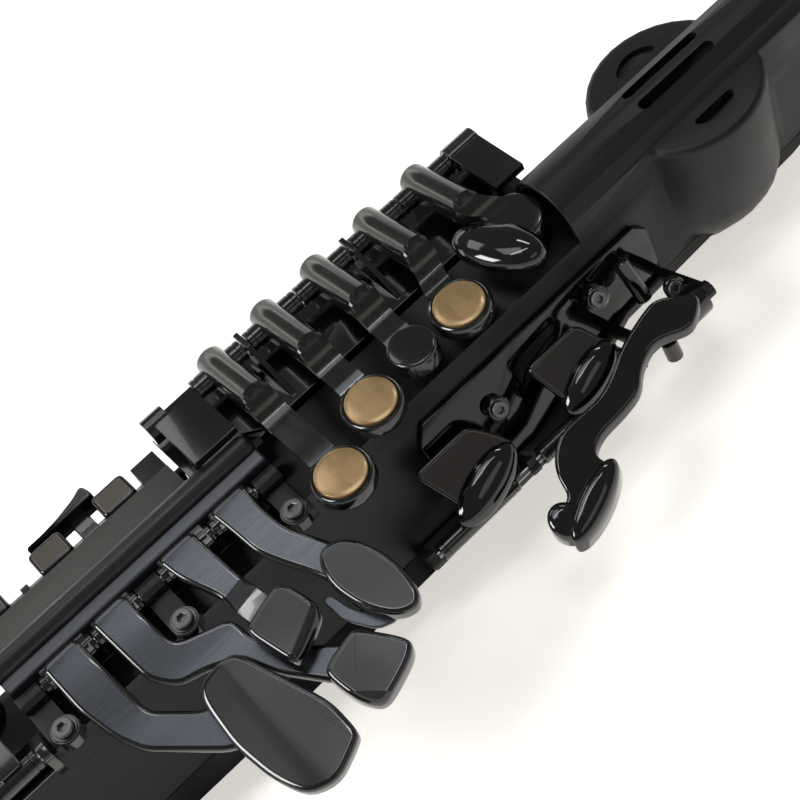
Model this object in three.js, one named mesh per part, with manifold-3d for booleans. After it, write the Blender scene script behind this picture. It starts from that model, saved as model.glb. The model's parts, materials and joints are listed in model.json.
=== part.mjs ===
// Digital wind controller: a saxophone-shaped electronic instrument lying on its back.
// Millimetres. +X runs up the body to the mouthpiece, +Z out of the key side, +Y to the player's right.
// The origin is the middle of the flat back of the speaker drum, on which the instrument lies.
import * as THREE from "three";
import { mergeVertices } from "three/addons/utils/BufferGeometryUtils.js";
import Module from "manifold-3d";

const wasm = await Module();
wasm.setup();

// Fits that many pieces share
const seatGap = 0.3;
const bearingGap = 0.35;
const endPlay = 0.3;
const overrun = 1;
const roundSides = 28;
const rodSides = 10;
const cupSides = 16;

// Casing
const neckEndX = 62;
const bellEndX = -400;
const casingHalfWidth = 43;
const casingWall = 2.4;
const floorZ = 60;
const floorHalfWidth = 14.5;
const shoulderZ = 51;
const shoulderHalfWidth = 16.5;
const partingZ = 20;
const narrowLedge = 1.5;
const wideLedge = 7.5;
const ledgeHalfWidth = 21.5;
const flankDrop = 4;
const bellyCorner = 3;
const bellyZ = 12;
const lowBellyZ = 16;
const neckBellyZ = 17;
const taperLowZ = 24;
const tableFloorX = -190;
const tableFloorZ = 54;
// Where each section of the casing lies along its length, how wide it is and how far its belly has come
// from one height to the next: 1 is the upper belly, 2 the lower belly, 0 the end under the neck.
const sectionShares = [
  { along: 0, width: 0.38, belly: 0 },
  { along: 0.07, width: 0.44, belly: 0.85 },
  { along: 0.22, width: 0.49, belly: 1 },
  { along: 0.264, width: 0.5, belly: 1 },
  { along: 0.32, width: 0.7, belly: 1 },
  { along: 0.385, width: 0.94, belly: 1 },
  { along: 0.51, width: 0.965, belly: 1 },
  { along: 0.66, width: 0.975, belly: 1 },
  { along: 0.76, width: 0.985, belly: 2 },
  { along: 1, width: 1, belly: 2 },
];

// Ridge over the speaker drum
const ridgeRadius = 15;
const ridgeZ = 64;
const ridgeEndX = -64;
const ridgeMouthDepth = 6;
const slotFromX = -19;
const slotToX = 16.5;
const slotWidth = 4;
const slotOffset = 3.9;
const slotDepth = 6;

// Speaker drum
const drumRadius = 31.4;
const drumSides = 32;
const earZ = 70;
const earRound = 2.4;
const earRoundSteps = 3;
const drumFootRadius = 12.4;
// Radius and height of the drum's rounded back, as shares of its radius and of the ear's height
const drumBackShares = [
  [0.86, 0.28],
  [0.955, 0.355],
  [1, 0.44],
];
const earSlotRadius = 11.4;
const earSlotCentreY = 12.1;
const earSlotStraightY = 17.3;
const earSlotCorner = 1.4;

// Neck socket
const collarX = 82;
const collarRadius = 13.5;
const collarZ = 50;
const socketDepth = 14;
const neckRadius = 11;

// Neck and mouthpiece
const neckShoulder = 13;
const neckTipRadius = 7.7;
const neckTaperShare = 0.83;
const neckBore = 4;
const neckStraight = 4;
const neckBendRadius = 62;
const neckBendDegrees = 22;
const neckInsert = 12;
const neckSteps = 6;
const mouthpieceLength = 64;
const mouthpieceRadius = 12.5;
const mouthpieceTableAt = 26;
const mouthpieceBeakAt = 36;
const mouthpieceTableLow = 10;
const mouthpieceTipHalfWidth = 7.5;
const mouthpieceTipThickness = 1.8;
const mouthpieceThroat = 6;
const windowHalfWidth = 4.6;
const windowEnd = 4;
const reedHalfWidth = 6.5;
const reedThickness = 2.6;
const reedTip = 0.5;
const reedInset = 0.6;
const ligatureWidth = 11;
const ligatureThickness = 1.5;
const ligatureStart = 1.5;

// Bell
const bellLength = 125;
const bellRadius = 55.5;
const bellZ = 58;
const bellWall = 2;
const bellTilt = 0.12;
const bellSteps = 7;
const bellFlarePower = 1.8;

// Left-hand stack
const stackTopX = -57;
const stackBottomX = -211;
const stackRodY = 42;
const stackRodZ = 70;
const rodRadius = 1.5;
const stackTubeRadius = 4;
const armWidth = 11;
const armCapY = 48.5;
const armCapZ = 76;
const armDepth = 10;
const archY = 17.5;
const archZ = 83;
const strapTopZ = 73.4;
const strapThickness = 2.3;
const strapWidth = 10.4;
const strapFallY = 9;
const cupRadius = 11;
const bisRadius = 8.6;
const touchReach = 42.7;
const cupTopZ = 71.2;
const cupDepth = 5.4;
const pearlRadius = 9.15;
const pearlThickness = 1.6;
const pearlProud = 0.5;
const frontFPetalLength = 34;
const frontFPetalWidth = 18;
const frontFPetalDegrees = 24;
const frontFPetalInset = 29.3;
const frontFPetalBeyondArch = 19.8;
const frontFPetalRise = 3;
// Where each arm and touch lies along the stack, and how far the touch lies beyond the arch
const hoopKeyShares = [
  { name: "key_front_f", arm: 0.1675, touch: 0.1201, reach: 0.349, radius: cupRadius },
  { name: "key_b", arm: 0.3169, touch: 0.3461, reach: 0.6, radius: cupRadius, pearl: "pearl_b" },
  { name: "key_bis", arm: 0.4792, touch: 0.4857, reach: 0.574, radius: bisRadius },
  { name: "key_a", arm: 0.6305, touch: 0.6312, reach: 0.705, radius: cupRadius, pearl: "pearl_a" },
  { name: "key_g", arm: 0.7883, touch: 0.7877, reach: 1, radius: cupRadius, pearl: "pearl_g" },
];
const hoopKeys = hoopKeyShares.map((key) => ({
  ...key,
  armX: lerp(stackTopX, stackBottomX, key.arm),
  touchX: lerp(stackTopX, stackBottomX, key.touch),
  touchY: archY - touchReach * key.reach,
}));

// Rail, posts and bosses of the left-hand stack
const railBarThickness = 3.2;
const railBarHeight = 8;
const railJog = 8;
const trayOuterY = 46;
const trayTopZ = 61.5;
const trayThickness = 2;
const postThickness = 2;
const postShares = [0.3929, 0.713];
const postXs = postShares.map((along) => lerp(stackTopX, stackBottomX, along));
const bossRadius = 5;
const topBossLength = 13;
const bottomBossLength = 9;
const bossPlateThickness = 3;
const bossPlateZ = 74;
const topPlateInnerY = 16;
const bottomPlateInnerY = 16;
const bottomPlateLength = 18;

// Rail below the stack
const ridgeRailRadius = 8.3;
const ridgeRailY = 13.8;
const ridgeRailZ = 62;
const ridgeRailFromX = -189;
const ridgeRailToX = -300;

// Little-finger table
const tableRodY = 0;
const tableRodZ = 62;
const tableTubeRadius = 3.4;
const tableTilt = 12;
const tableStrapTop = 1.6;
const tableLowStrapTop = -0.4;
const tableStrapThickness = 2.6;
const tableBaseThickness = 1.2;
const tableBaseHalfWidth = 4;
const tablePostY = -19;
const tablePostZ = 59.6;
const tableFromX = -300;
const tableToX = -189.8;
const tableReach = 93;
const tableTouchTop = 9.2;
const tableHighTouchTop = 10.3;
const tableTouchDepth = 8;
const tableBossShares = [[0.9165, 1], [0.4574, 0.5372], [0, 0.0817]];
const tableBosses = tableBossShares.map(([from, to]) => ({
  fromX: lerp(tableFromX, tableToX, from),
  toX: lerp(tableFromX, tableToX, to),
}));

// Side keys
const deckFromX = -213;
const deckToX = -300;
const deckInnerY = 22.6;
const deckOuterY = casingHalfWidth - wideLedge;
const deckTopZ = 60;
const deckBottomZ = 34;
const sideRodReach = 3.5;
const sideRodY = deckOuterY + sideRodReach;
const sideRodZ = 54.5;
const sideTubeRadius = 2.9;
const sideTouchLength = 14;
const sideTouchReach = 11.7;
const sideTouchWidth = 11.2;
const sideTouchOuterY = deckOuterY + sideTouchReach;
const sideTouchInnerY = sideTouchOuterY - sideTouchWidth;
const sideTouchTopZ = 60;
const sideTouchDepth = 6;
const sideKeyShares = [
  { name: "key_side_e", along: 0.2299 },
  { name: "key_side_c", along: 0.5517 },
  { name: "key_side_b_flat", along: 0.8736 },
];
const sideLugThickness = 3;
const sideLugInset = 62;
const sideEndBlock = 10;
const sideEndBlockReach = 10.5;
const sideEndBlockY = deckOuterY + sideEndBlockReach;
const sideEndBlockZ = 58;
const finX = -246.5;
const finFromX = -266;
const finToX = -237.5;
const finReach = 14;
const finWidth = 6.5;
const finInnerY = deckOuterY + finReach;
const finOuterY = finInnerY + finWidth;
const finTopZ = 58.5;
const finDepth = 9;
const finArmThickness = 3;
const finHubLength = 7;

// Palm keys
const palmRodY = -44.5;
const palmRodZ = 27.5;
const palmTubeRadius = 3.4;
const palmTopSlope = 0.795;
const palmInnerY = -27.8;
const palmInnerZ = 47;
const palmThickness = 4.6;
const palmKeyWidthY = 21;
const palmStripReach = 1.8;
const palmStripLowZ = 18.6;
const palmStripHighZ = 22.2;
const palmLugThickness = 3.4;
const palmLugRadius = 3.3;
const palmFromX = -40;
const palmToX = -172;
const palmLugShares = [-0, 0.2121, 0.2652, 0.6515, 1];
const palmLugXs = palmLugShares.map((along) => lerp(palmFromX, palmToX, along));
const palmFHingeX = -54;
const palmFHingeLength = 24;
const palmFRodY = -44;
const palmFRodZ = 30;
const leverFromX = -140.4;
const leverToX = -60;
const leverOuterY = -80.1;
const leverRootY = -42.3;
const leverRootZ = 42.7;
const leverSlope = 0.372;
const leverThickness = 5;
const palmPlateFromX = -150;
const palmPlateToX = -40;
const palmPlateThickness = 2;
const palmPlateLowZ = 24;
const palmPlateCorner = 5;

// Right-hand stack
const lowRodY = -18;
const lowRodZ = 61;
const lowTubeRadius = 3.4;
const lowCupY = 7;
const lowCupTopZ = 66.8;
const lowCupDepth = 4.6;
const lowArmWidth = 8;
const lowArmThickness = 2.4;
const lowArmTopZ = 66.4;
const lowStackFromX = -398;
const lowStackToX = -301.4;
const lowLugThickness = 3;
const lowMiddleLugInset = 48.6;
const lowBaseThickness = 1.2;
const lowBaseHalfWidth = 4;
const lowTubeLength = 18;
const pinkyTubeLength = 9;
// Where each right-hand key lies along its stack, from the end near the table
const lowKeyShares = [
  { name: "key_f", along: 0.1304, pearl: "pearl_f" },
  { name: "key_e", along: 0.3685, pearl: "pearl_e" },
  { name: "key_d", along: 0.6066, pearl: "pearl_d" },
];
const pinkyKeyShares = [
  { name: "key_low_e_flat", along: 0.7826 },
  { name: "key_low_c", along: 0.9068 },
];
const lowKeys = lowKeyShares.map((key) => ({
  ...key,
  x: lerp(lowStackToX, lowStackFromX, key.along),
  length: lowTubeLength,
}));
const pinkyKeys = pinkyKeyShares.map((key) => ({
  ...key,
  x: lerp(lowStackToX, lowStackFromX, key.along),
  length: pinkyTubeLength,
}));
const pinkyInnerY = 17;
const pinkyOuterY = 40;
const pinkyWidth = 10.6;
const pinkyDepth = 4.4;

// Back of the instrument
const thumbRestX = -128;
const thumbRestRadius = 9;
const thumbPlateFromX = -140;
const thumbPlateToX = -98;
const thumbPlateHalfWidth = 11;
const thumbPlateThickness = 2.4;
const thumbPadZ = 5;
const octaveX = -104;
const octaveZ = 6.2;
const octaveHubRadius = 2.4;
const octavePinRadius = 1.4;
const octaveToX = -82;
const octaveHalfWidth = 6;
const octaveThickness = 2.4;
const octaveLugWidth = 2.6;
const octaveLugReach = 3.4;
const stickCapRadius = 6;
const stickX = thumbPlateFromX - stickCapRadius * 2;
const stickCapZ = 5;
const stickCapThickness = 3;
const stickStemRadius = 2.5;
const stickStemTopZ = 18;
const panelFromX = -224;
const panelToX = -168;
const panelHalfWidth = 20;
const panelThickness = 2.2;
const buttonRadius = 3.5;
const buttonInset = 11;
const buttonX = panelFromX + buttonInset;
const buttonY = 11;
const buttonProud = 1.3;
const buttonLength = 2.3;
const dialInset = 13;
const dialX = panelToX - dialInset;
const dialRadius = 8;
const dialThickness = 3;
const dialStemRadius = 2;
const ringX = -256;
const ringHalfWidth = 9;
const ringBar = 2.6;
const ringReach = 10.4;
const ringThickness = 4;
const hookFromX = -328;
const hookToX = -300;
const hookHalfWidth = 14;
const hookThickness = 2.6;

// Battery bay and inside
const cellRadius = 7.1;
const cellLength = 50;
const cellCount = Math.floor((casingHalfWidth - wideLedge - casingWall) / cellRadius);
const bayX = -367;
const bayLength = 55;
const bayMargin = 2;
const coverThickness = 2;
const boardFromX = -325;
const boardToX = -70;
const boardHalfWidth = 11;
const boardZ = 31;
const boardThickness = 1.6;
const boardPostRadius = 2.5;
const boardPostShares = [0.9216, 0.4902, 0.0588];
const boardPostXs = boardPostShares.map((along) => lerp(boardFromX, boardToX, along));
const driverRadius = 26;
const driverDepth = 22;
const driverMagnetRadius = 15;
const portZ = 31;
const portRadius = 3.2;
const portX = -320;
const portPitch = 13;
const portXs = [portX, portX - portPitch];
const usbX = -306;
const usbLength = 10;
const usbHeight = 4.6;

// Helpers: closed solids from three.js geometry
function solid(geometry) {
  const bare = geometry.clone();
  bare.deleteAttribute("normal");
  bare.deleteAttribute("uv");
  const merged = mergeVertices(bare);
  const made = new wasm.Manifold(
    new wasm.Mesh({
      numProp: 3,
      vertProperties: merged.attributes.position.array,
      triVerts: new Uint32Array(merged.index.array),
    }),
  );
  return made;
}

function join(...pieces) {
  return pieces.reduce((whole, piece) => whole.add(piece));
}

function block(low, high) {
  const size = high.map((value, i) => value - low[i]);
  const geometry = new THREE.BoxGeometry(...size);
  geometry.translate(...low.map((value, i) => value + size[i] / 2));
  return solid(geometry);
}

// A cylinder from one height to another along an axis; centre gives the two other coordinates in order
function roundBar(axis, radius, from, to, centre, sides = rodSides) {
  const geometry = new THREE.CylinderGeometry(radius, radius, to - from, sides);
  const middle = (from + to) / 2;
  if (axis === "x") {
    geometry.rotateZ(-Math.PI / 2);
    geometry.translate(middle, centre[0], centre[1]);
  } else if (axis === "y") {
    geometry.translate(centre[0], middle, centre[1]);
  } else {
    geometry.rotateX(Math.PI / 2);
    geometry.translate(centre[0], centre[1], middle);
  }
  return solid(geometry);
}

function extrude(outline, depth) {
  const shape = new THREE.Shape(outline.map(([u, v]) => new THREE.Vector2(u, v)));
  return new THREE.ExtrudeGeometry(shape, { depth, bevelEnabled: false });
}

// An outline in X and Y, raised from one height to another
function slab(outline, lowZ, highZ) {
  const geometry = extrude(outline, highZ - lowZ);
  geometry.translate(0, 0, lowZ);
  return solid(geometry);
}

// An outline in Y and Z, drawn out along X
function beam(outline, fromX, toX) {
  const geometry = extrude(outline, toX - fromX);
  const turn = new THREE.Matrix4().makeBasis(
    new THREE.Vector3(0, 1, 0),
    new THREE.Vector3(0, 0, 1),
    new THREE.Vector3(1, 0, 0),
  );
  geometry.applyMatrix4(turn);
  geometry.translate(fromX, 0, 0);
  return solid(geometry);
}

// An outline in X and Z, drawn out along Y
function wing(outline, fromY, toY) {
  const geometry = extrude(outline, toY - fromY);
  geometry.rotateX(Math.PI / 2);
  geometry.translate(0, toY, 0);
  return solid(geometry);
}

// A skin through rings of as many points each, closed by a fan at both ends
function loft(rings) {
  const count = rings[0].length;
  const points = rings.flat();
  const faces = [];
  for (let ring = 0; ring + 1 < rings.length; ring += 1) {
    for (let i = 0; i < count; i += 1) {
      const a = ring * count + i;
      const b = ring * count + ((i + 1) % count);
      faces.push(a, b, b + count, a, b + count, a + count);
    }
  }
  const middleOf = (ring) => ring.reduce((sum, p) => sum.add(p), new THREE.Vector3()).divideScalar(count);
  const first = points.push(middleOf(rings[0])) - 1;
  const last = points.push(middleOf(rings.at(-1))) - 1;
  const lastRing = (rings.length - 1) * count;
  for (let i = 0; i < count; i += 1) {
    const next = (i + 1) % count;
    faces.push(first, next, i);
    faces.push(last, lastRing + i, lastRing + next);
  }
  const geometry = new THREE.BufferGeometry().setFromPoints(points);
  geometry.setIndex(faces);
  return solid(geometry);
}

function lerp(a, b, share) {
  return a + (b - a) * share;
}

function degrees(angle) {
  return THREE.MathUtils.degToRad(angle);
}

function circleRing(sides, place) {
  return Array.from({ length: sides }, (_, i) => {
    const angle = (i / sides) * 2 * Math.PI;
    return place(Math.cos(angle), Math.sin(angle));
  });
}

function arc(centre, radius, from, to, steps) {
  return Array.from({ length: steps + 1 }, (_, i) => {
    const angle = degrees(lerp(from, to, i / steps));
    return [centre[0] + radius * Math.cos(angle), centre[1] + radius * Math.sin(angle)];
  });
}

// Shares of a box, as an outline
function outlineIn(from, to, shares) {
  return shares.map(([u, v]) => [lerp(from[0], to[0], u), lerp(from[1], to[1], v)]);
}

function mirrorY(piece) {
  return piece.mirror([0, 1, 0]);
}

// The assembly
const instrument = new THREE.Group();
instrument.name = "digital_wind_controller";

const finishes = {
  satinBlack: { color: 0x232326, roughness: 0.5, metalness: 0.1 },
  glossBlack: { color: 0x0b0b0d, roughness: 0.15, metalness: 0.1 },
  lacquerGrey: { color: 0x4c4c50, roughness: 0.3, metalness: 0.7 },
  strapGrey: { color: 0x75757c, roughness: 0.35, metalness: 0.7 },
  steel: { color: 0x9a9aa0, roughness: 0.25, metalness: 1 },
  gold: { color: 0xcaa35c, roughness: 0.35, metalness: 0.6 },
  rubber: { color: 0x18181a, roughness: 0.8, metalness: 0 },
  reed: { color: 0xd8cfa8, roughness: 0.6, metalness: 0 },
  boardGreen: { color: 0x1f5a3a, roughness: 0.5, metalness: 0 },
};

function add(name, piece, finish, parent = instrument) {
  const { vertProperties, triVerts } = piece.getMesh();
  const geometry = new THREE.BufferGeometry();
  geometry.setAttribute("position", new THREE.BufferAttribute(vertProperties, 3));
  geometry.setIndex(new THREE.BufferAttribute(triVerts, 1));
  geometry.computeVertexNormals();
  const material = new THREE.MeshStandardMaterial({ ...finishes[finish], flatShading: true });
  const mesh = new THREE.Mesh(geometry, material);
  mesh.name = name;
  parent.add(mesh);
  return mesh;
}

// Casing sections
const casingLength = neckEndX - bellEndX;

function sectionAt(x) {
  const along = THREE.MathUtils.clamp((neckEndX - x) / casingLength, 0, 1);
  const next = Math.max(1, sectionShares.findIndex((section) => section.along >= along));
  const [a, b] = [sectionShares[next - 1], sectionShares[next]];
  const share = (along - a.along) / (b.along - a.along);
  const belly = lerp(a.belly, b.belly, share);
  const bellyHeight = belly < 1 ? lerp(neckBellyZ, bellyZ, belly) : lerp(bellyZ, lowBellyZ, belly - 1);
  return { halfWidth: casingHalfWidth * lerp(a.width, b.width, share), bellyHeight };
}

// The ledge under the slanted side grows with the casing's width
function ledgeAt(halfWidth) {
  const share = (halfWidth - ledgeHalfWidth) / (casingHalfWidth - ledgeHalfWidth);
  return lerp(narrowLedge, wideLedge, Math.max(share, 0));
}

// Half of a section from the floor's edge to the belly's, each point inset from the outside
function sectionHalf(x, inset) {
  const { halfWidth, bellyHeight } = sectionAt(x);
  const ledge = ledgeAt(halfWidth);
  const shoulder = Math.min(shoulderHalfWidth, halfWidth + narrowLedge);
  const flankZ = Math.min(Math.max(partingZ - flankDrop, bellyHeight + narrowLedge), partingZ);
  const partZ = Math.max(partingZ, flankZ + narrowLedge);
  return [
    [Math.min(floorHalfWidth, halfWidth) - inset, floorZ - inset],
    [shoulder - inset, shoulderZ],
    [halfWidth - ledge - inset, partZ],
    [halfWidth - inset, flankZ],
    [halfWidth - bellyCorner - inset, bellyHeight + inset],
  ];
}

function sectionRing(x, inset) {
  const half = sectionHalf(x, inset);
  const right = half.map(([y, z]) => new THREE.Vector3(x, y, z));
  const left = half.map(([y, z]) => new THREE.Vector3(x, -y, z)).reverse();
  return [...right, ...left];
}

// The casing's body without the ridge and the drum, inset from its outside by a wall or grown by a gap
function casingBody(inset) {
  const xs = sectionShares.map(({ along }) => neckEndX - along * casingLength);
  xs[0] -= inset;
  xs[xs.length - 1] += inset;
  const body = loft(xs.map((x) => sectionRing(x, inset)));
  const tableRecess = block(
    [bellEndX - overrun - casingHalfWidth, -casingHalfWidth, tableFloorZ - inset],
    [tableFloorX + inset, casingHalfWidth, floorZ + casingHalfWidth],
  );
  return body.subtract(tableRecess);
}

function ridgeOutline(inset) {
  const radius = ridgeRadius - inset;
  const top = arc([0, ridgeZ], radius, 0, 180, cupSides / 2);
  return [...top, [-radius, shoulderZ], [radius, shoulderZ]];
}

function drumSolid(inset) {
  const radius = drumRadius - inset;
  const back = drumBackShares.map(([r, z]) => new THREE.Vector2(radius * r, Math.max(earZ * z, inset)));
  const rimCentre = [radius - earRound, earZ - inset - earRound];
  const rim = arc(rimCentre, earRound, 0, 90, earRoundSteps).map(([r, z]) => new THREE.Vector2(r, z));
  const profile = [
    new THREE.Vector2(0, inset),
    new THREE.Vector2(drumFootRadius - inset, inset),
    ...back,
    ...rim,
    new THREE.Vector2(0, earZ - inset),
  ];
  const geometry = new THREE.LatheGeometry(profile, drumSides);
  geometry.rotateX(Math.PI / 2);
  return solid(geometry);
}

// The taper from the ridge's end to the round collar
function neckTaper() {
  const topZ = ridgeZ + ridgeRadius;
  const start = circleRing(roundSides, (c, s) => new THREE.Vector3(
    neckEndX - overrun,
    (ridgeRadius - overrun) * c,
    (topZ + taperLowZ) / 2 + ((topZ - taperLowZ) / 2 - overrun) * s,
  ));
  const end = circleRing(roundSides, (c, s) => new THREE.Vector3(
    collarX,
    collarRadius * c,
    collarZ + collarRadius * s,
  ));
  return loft([start, end].reverse().map((ring) => ring.reverse()));
}

// Casing shells
function casingOutside() {
  const ridge = beam(ridgeOutline(0), ridgeEndX, neckEndX);
  return join(casingBody(0), ridge, drumSolid(0), neckTaper());
}

function casingInside() {
  const bulkheadX = ridgeEndX + ridgeMouthDepth + casingWall;
  const ridge = beam(ridgeOutline(casingWall), bulkheadX, neckEndX - casingWall);
  return join(casingBody(casingWall), ridge, drumSolid(casingWall));
}

// A long slot in the ridge's top, with round ends
function ridgeSlot() {
  const radius = slotWidth / 2;
  const topZ = ridgeZ + ridgeRadius;
  const outline = [
    ...arc([slotToX - radius, slotOffset], radius, -90, 90, rodSides / 2),
    ...arc([slotFromX + radius, slotOffset], radius, 90, 270, rodSides / 2),
  ];
  return slab(outline, topZ - slotDepth, topZ + overrun);
}

// The slot in an ear: what lies beyond a straight side of a circle, with its corners rounded
function earSlot() {
  const cornerY = earSlotStraightY + earSlotCorner;
  const rise = cornerY - earSlotCentreY;
  const cornerX = Math.sqrt((earSlotRadius - earSlotCorner) ** 2 - rise ** 2);
  const turn = THREE.MathUtils.radToDeg(Math.atan2(rise, cornerX));
  const outline = [
    ...arc([cornerX, cornerY], earSlotCorner, -90, turn, earRoundSteps),
    ...arc([0, earSlotCentreY], earSlotRadius, turn, 180 - turn, cupSides).slice(1, -1),
    ...arc([-cornerX, cornerY], earSlotCorner, 180 - turn, 270, earRoundSteps),
  ];
  return slab(outline, earZ - casingWall - overrun, earZ + overrun);
}

function speakerOpenings() {
  const ridge = ridgeSlot();
  const ear = earSlot();
  return join(ridge, mirrorY(ridge), ear, mirrorY(ear));
}

function ports() {
  const reach = casingHalfWidth + overrun;
  const sockets = portXs.map((x) => roundBar("y", portRadius, 0, reach, [x, portZ]));
  const usb = block(
    [usbX - usbLength / 2, 0, portZ - usbHeight / 2],
    [usbX + usbLength / 2, reach, portZ + usbHeight / 2],
  );
  return join(...sockets, usb);
}

const casingOuter = casingOutside();
const casingInner = casingInside();
const farBelow = block(
  [bellEndX - overrun, -drumRadius - casingHalfWidth, -overrun],
  [collarX + overrun, drumRadius + casingHalfWidth, partingZ + seatGap / 2],
);
const farAbove = block(
  [bellEndX - overrun, -drumRadius - casingHalfWidth, partingZ - seatGap / 2],
  [collarX + overrun, drumRadius + casingHalfWidth, armCapZ + archZ],
);

function frontShell() {
  const mouthOutline = [
    ...arc([0, ridgeZ], ridgeRadius - casingWall, 0, 180, cupSides / 2),
    [-floorHalfWidth + casingWall, floorZ],
    [floorHalfWidth - casingWall, floorZ],
  ];
  const ridgeMouth = beam(mouthOutline, ridgeEndX - overrun, ridgeEndX + ridgeMouthDepth);
  const socket = roundBar(
    "x", neckRadius + seatGap, collarX - socketDepth, collarX + overrun, [0, collarZ], roundSides,
  );
  const airway = roundBar(
    "x", neckBore, neckEndX - casingWall - overrun, collarX, [0, collarZ],
  );
  return casingOuter
    .subtract(casingInner)
    .subtract(farBelow)
    .subtract(join(ridgeMouth, socket, airway))
    .subtract(speakerOpenings())
    .subtract(ports());
}

const coverLength = bayLength - seatGap * 2;
const bayHalfWidth = cellRadius * cellCount + bayMargin;

function bayOpening(margin) {
  return block(
    [bayX - bayLength / 2 + margin, -bayHalfWidth + margin, -overrun],
    [bayX + bayLength / 2 - margin, bayHalfWidth - margin, lowBellyZ + casingWall + overrun],
  );
}

function backShell() {
  const stickHole = roundBar(
    "z", stickStemRadius + seatGap * 2, -overrun, partingZ, [stickX, 0], cupSides,
  );
  const posts = boardPostXs.map((x) => roundBar(
    "z", boardPostRadius, sectionAt(x).bellyHeight + casingWall / 2, boardZ - seatGap, [x, 0],
  ));
  return casingOuter
    .subtract(casingInner)
    .subtract(farAbove)
    .subtract(bayOpening(0))
    .subtract(stickHole)
    .add(join(...posts));
}

add("front_shell", frontShell(), "satinBlack");
add("back_shell", backShell(), "satinBlack");

// Glossy skin on the palm side's slanted face
function palmPlate() {
  const skin = casingBody(-seatGap - palmPlateThickness).subtract(casingBody(-seatGap));
  const c = palmPlateCorner;
  const outline = [
    [palmPlateFromX + c, palmPlateLowZ],
    [palmPlateToX - c, palmPlateLowZ],
    [palmPlateToX, palmPlateLowZ + c],
    [palmPlateToX, shoulderZ - c],
    [palmPlateToX - c, shoulderZ],
    [palmPlateFromX + c, shoulderZ],
    [palmPlateFromX, shoulderZ - c],
    [palmPlateFromX, palmPlateLowZ + c],
  ];
  return skin.intersect(wing(outline, -casingHalfWidth, 0));
}
add("palm_plate", palmPlate(), "glossBlack");

// Half-round rail beside the table
function ridgeRail() {
  const low = tableFloorZ + seatGap;
  const noseX = ridgeRailFromX - ridgeRailRadius;
  const outline = [
    ...arc([ridgeRailY, ridgeRailZ], ridgeRailRadius, 0, 180, rodSides),
    [ridgeRailY - ridgeRailRadius, low],
    [ridgeRailY + ridgeRailRadius, low],
  ];
  const nose = new THREE.SphereGeometry(ridgeRailRadius, cupSides, rodSides);
  nose.rotateX(Math.PI / 2);
  nose.translate(noseX, ridgeRailY, ridgeRailZ);
  const noseFoot = roundBar(
    "z", ridgeRailRadius, low + casingWall * 3, ridgeRailZ, [noseX, ridgeRailY], cupSides,
  );
  return join(beam(outline, ridgeRailToX, noseX), solid(nose), noseFoot)
    .subtract(casingBody(-seatGap));
}
add("ridge_rail", ridgeRail(), "satinBlack");

// Channel bar under the side keys
function sideKeyDeck() {
  return block([deckToX, deckInnerY, deckBottomZ], [deckFromX, deckOuterY, deckTopZ])
    .subtract(casingBody(-seatGap));
}
add("side_key_deck", sideKeyDeck(), "strapGrey");

// Bell: the casing's last section flares into a round mouth
function polygonReach(polygon, centreZ, angle) {
  const direction = [Math.cos(angle), Math.sin(angle)];
  let reach = 0;
  polygon.forEach((point, i) => {
    const next = polygon[(i + 1) % polygon.length];
    const a = [point.y, point.z - centreZ];
    const edge = [next.y - point.y, next.z - point.z];
    const cross = direction[0] * edge[1] - direction[1] * edge[0];
    const along = (a[0] * edge[1] - a[1] * edge[0]) / cross;
    const share = (a[0] * direction[1] - a[1] * direction[0]) / cross;
    if (share >= 0 && share <= 1 && along > reach) reach = along;
  });
  return reach;
}

function bellSolid(inset, from, to) {
  const startX = bellEndX - seatGap;
  const startZ = (lowBellyZ + tableFloorZ) / 2;
  const section = sectionRing(bellEndX, 0);
  section.forEach((point) => point.setZ(Math.min(point.z, tableFloorZ)));
  const rings = Array.from({ length: bellSteps + 1 }, (_, step) => {
    const share = lerp(from, to, step / bellSteps);
    const centreZ = lerp(startZ, bellZ, share);
    const round = Math.min(1, share * 2);
    return circleRing(roundSides, (c, s) => {
      const flat = polygonReach(section, startZ, Math.atan2(s, c));
      const start = lerp(flat, casingHalfWidth, round);
      const reach = lerp(start, bellRadius, Math.pow(Math.max(share, 0), bellFlarePower)) - inset;
      const lean = bellTilt * share * reach * s;
      return new THREE.Vector3(startX - bellLength * share - lean, reach * c, centreZ + reach * s);
    });
  });
  return loft(rings.map((ring) => ring.reverse()));
}

function bell() {
  const closedShare = bellWall / bellLength;
  return bellSolid(0, 0, 1).subtract(bellSolid(bellWall, closedShare, 1 + closedShare));
}
add("bell", bell(), "satinBlack");

// Neck: a tenon in the casing's socket, a shoulder, then a bend to the mouthpiece
const bend = degrees(neckBendDegrees);
const neckShoulderX = collarX + seatGap;
const neckBendX = neckShoulderX + neckStraight;

function neckPoint(share) {
  const angle = bend * share;
  const x = neckBendX + neckBendRadius * Math.sin(angle);
  const z = collarZ - neckBendRadius * (1 - Math.cos(angle));
  return { x, z, angle };
}

function neckRing(radius, x, z, angle) {
  return circleRing(cupSides, (c, s) => new THREE.Vector3(
    x + radius * s * Math.sin(angle), radius * c, z + radius * s * Math.cos(angle),
  ));
}

function neckBody(radiusAt, startX, extra) {
  const rings = [neckRing(radiusAt(0), startX, collarZ, 0)];
  for (let step = 0; step <= neckSteps; step += 1) {
    const share = step / neckSteps;
    const { x, z, angle } = neckPoint(share);
    rings.push(neckRing(radiusAt(share), x, z, angle));
  }
  const end = neckPoint(1);
  const reach = neckInsert + extra;
  rings.push(neckRing(radiusAt(1), end.x + reach * Math.cos(bend), end.z - reach * Math.sin(bend), bend));
  return loft(rings);
}

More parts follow.
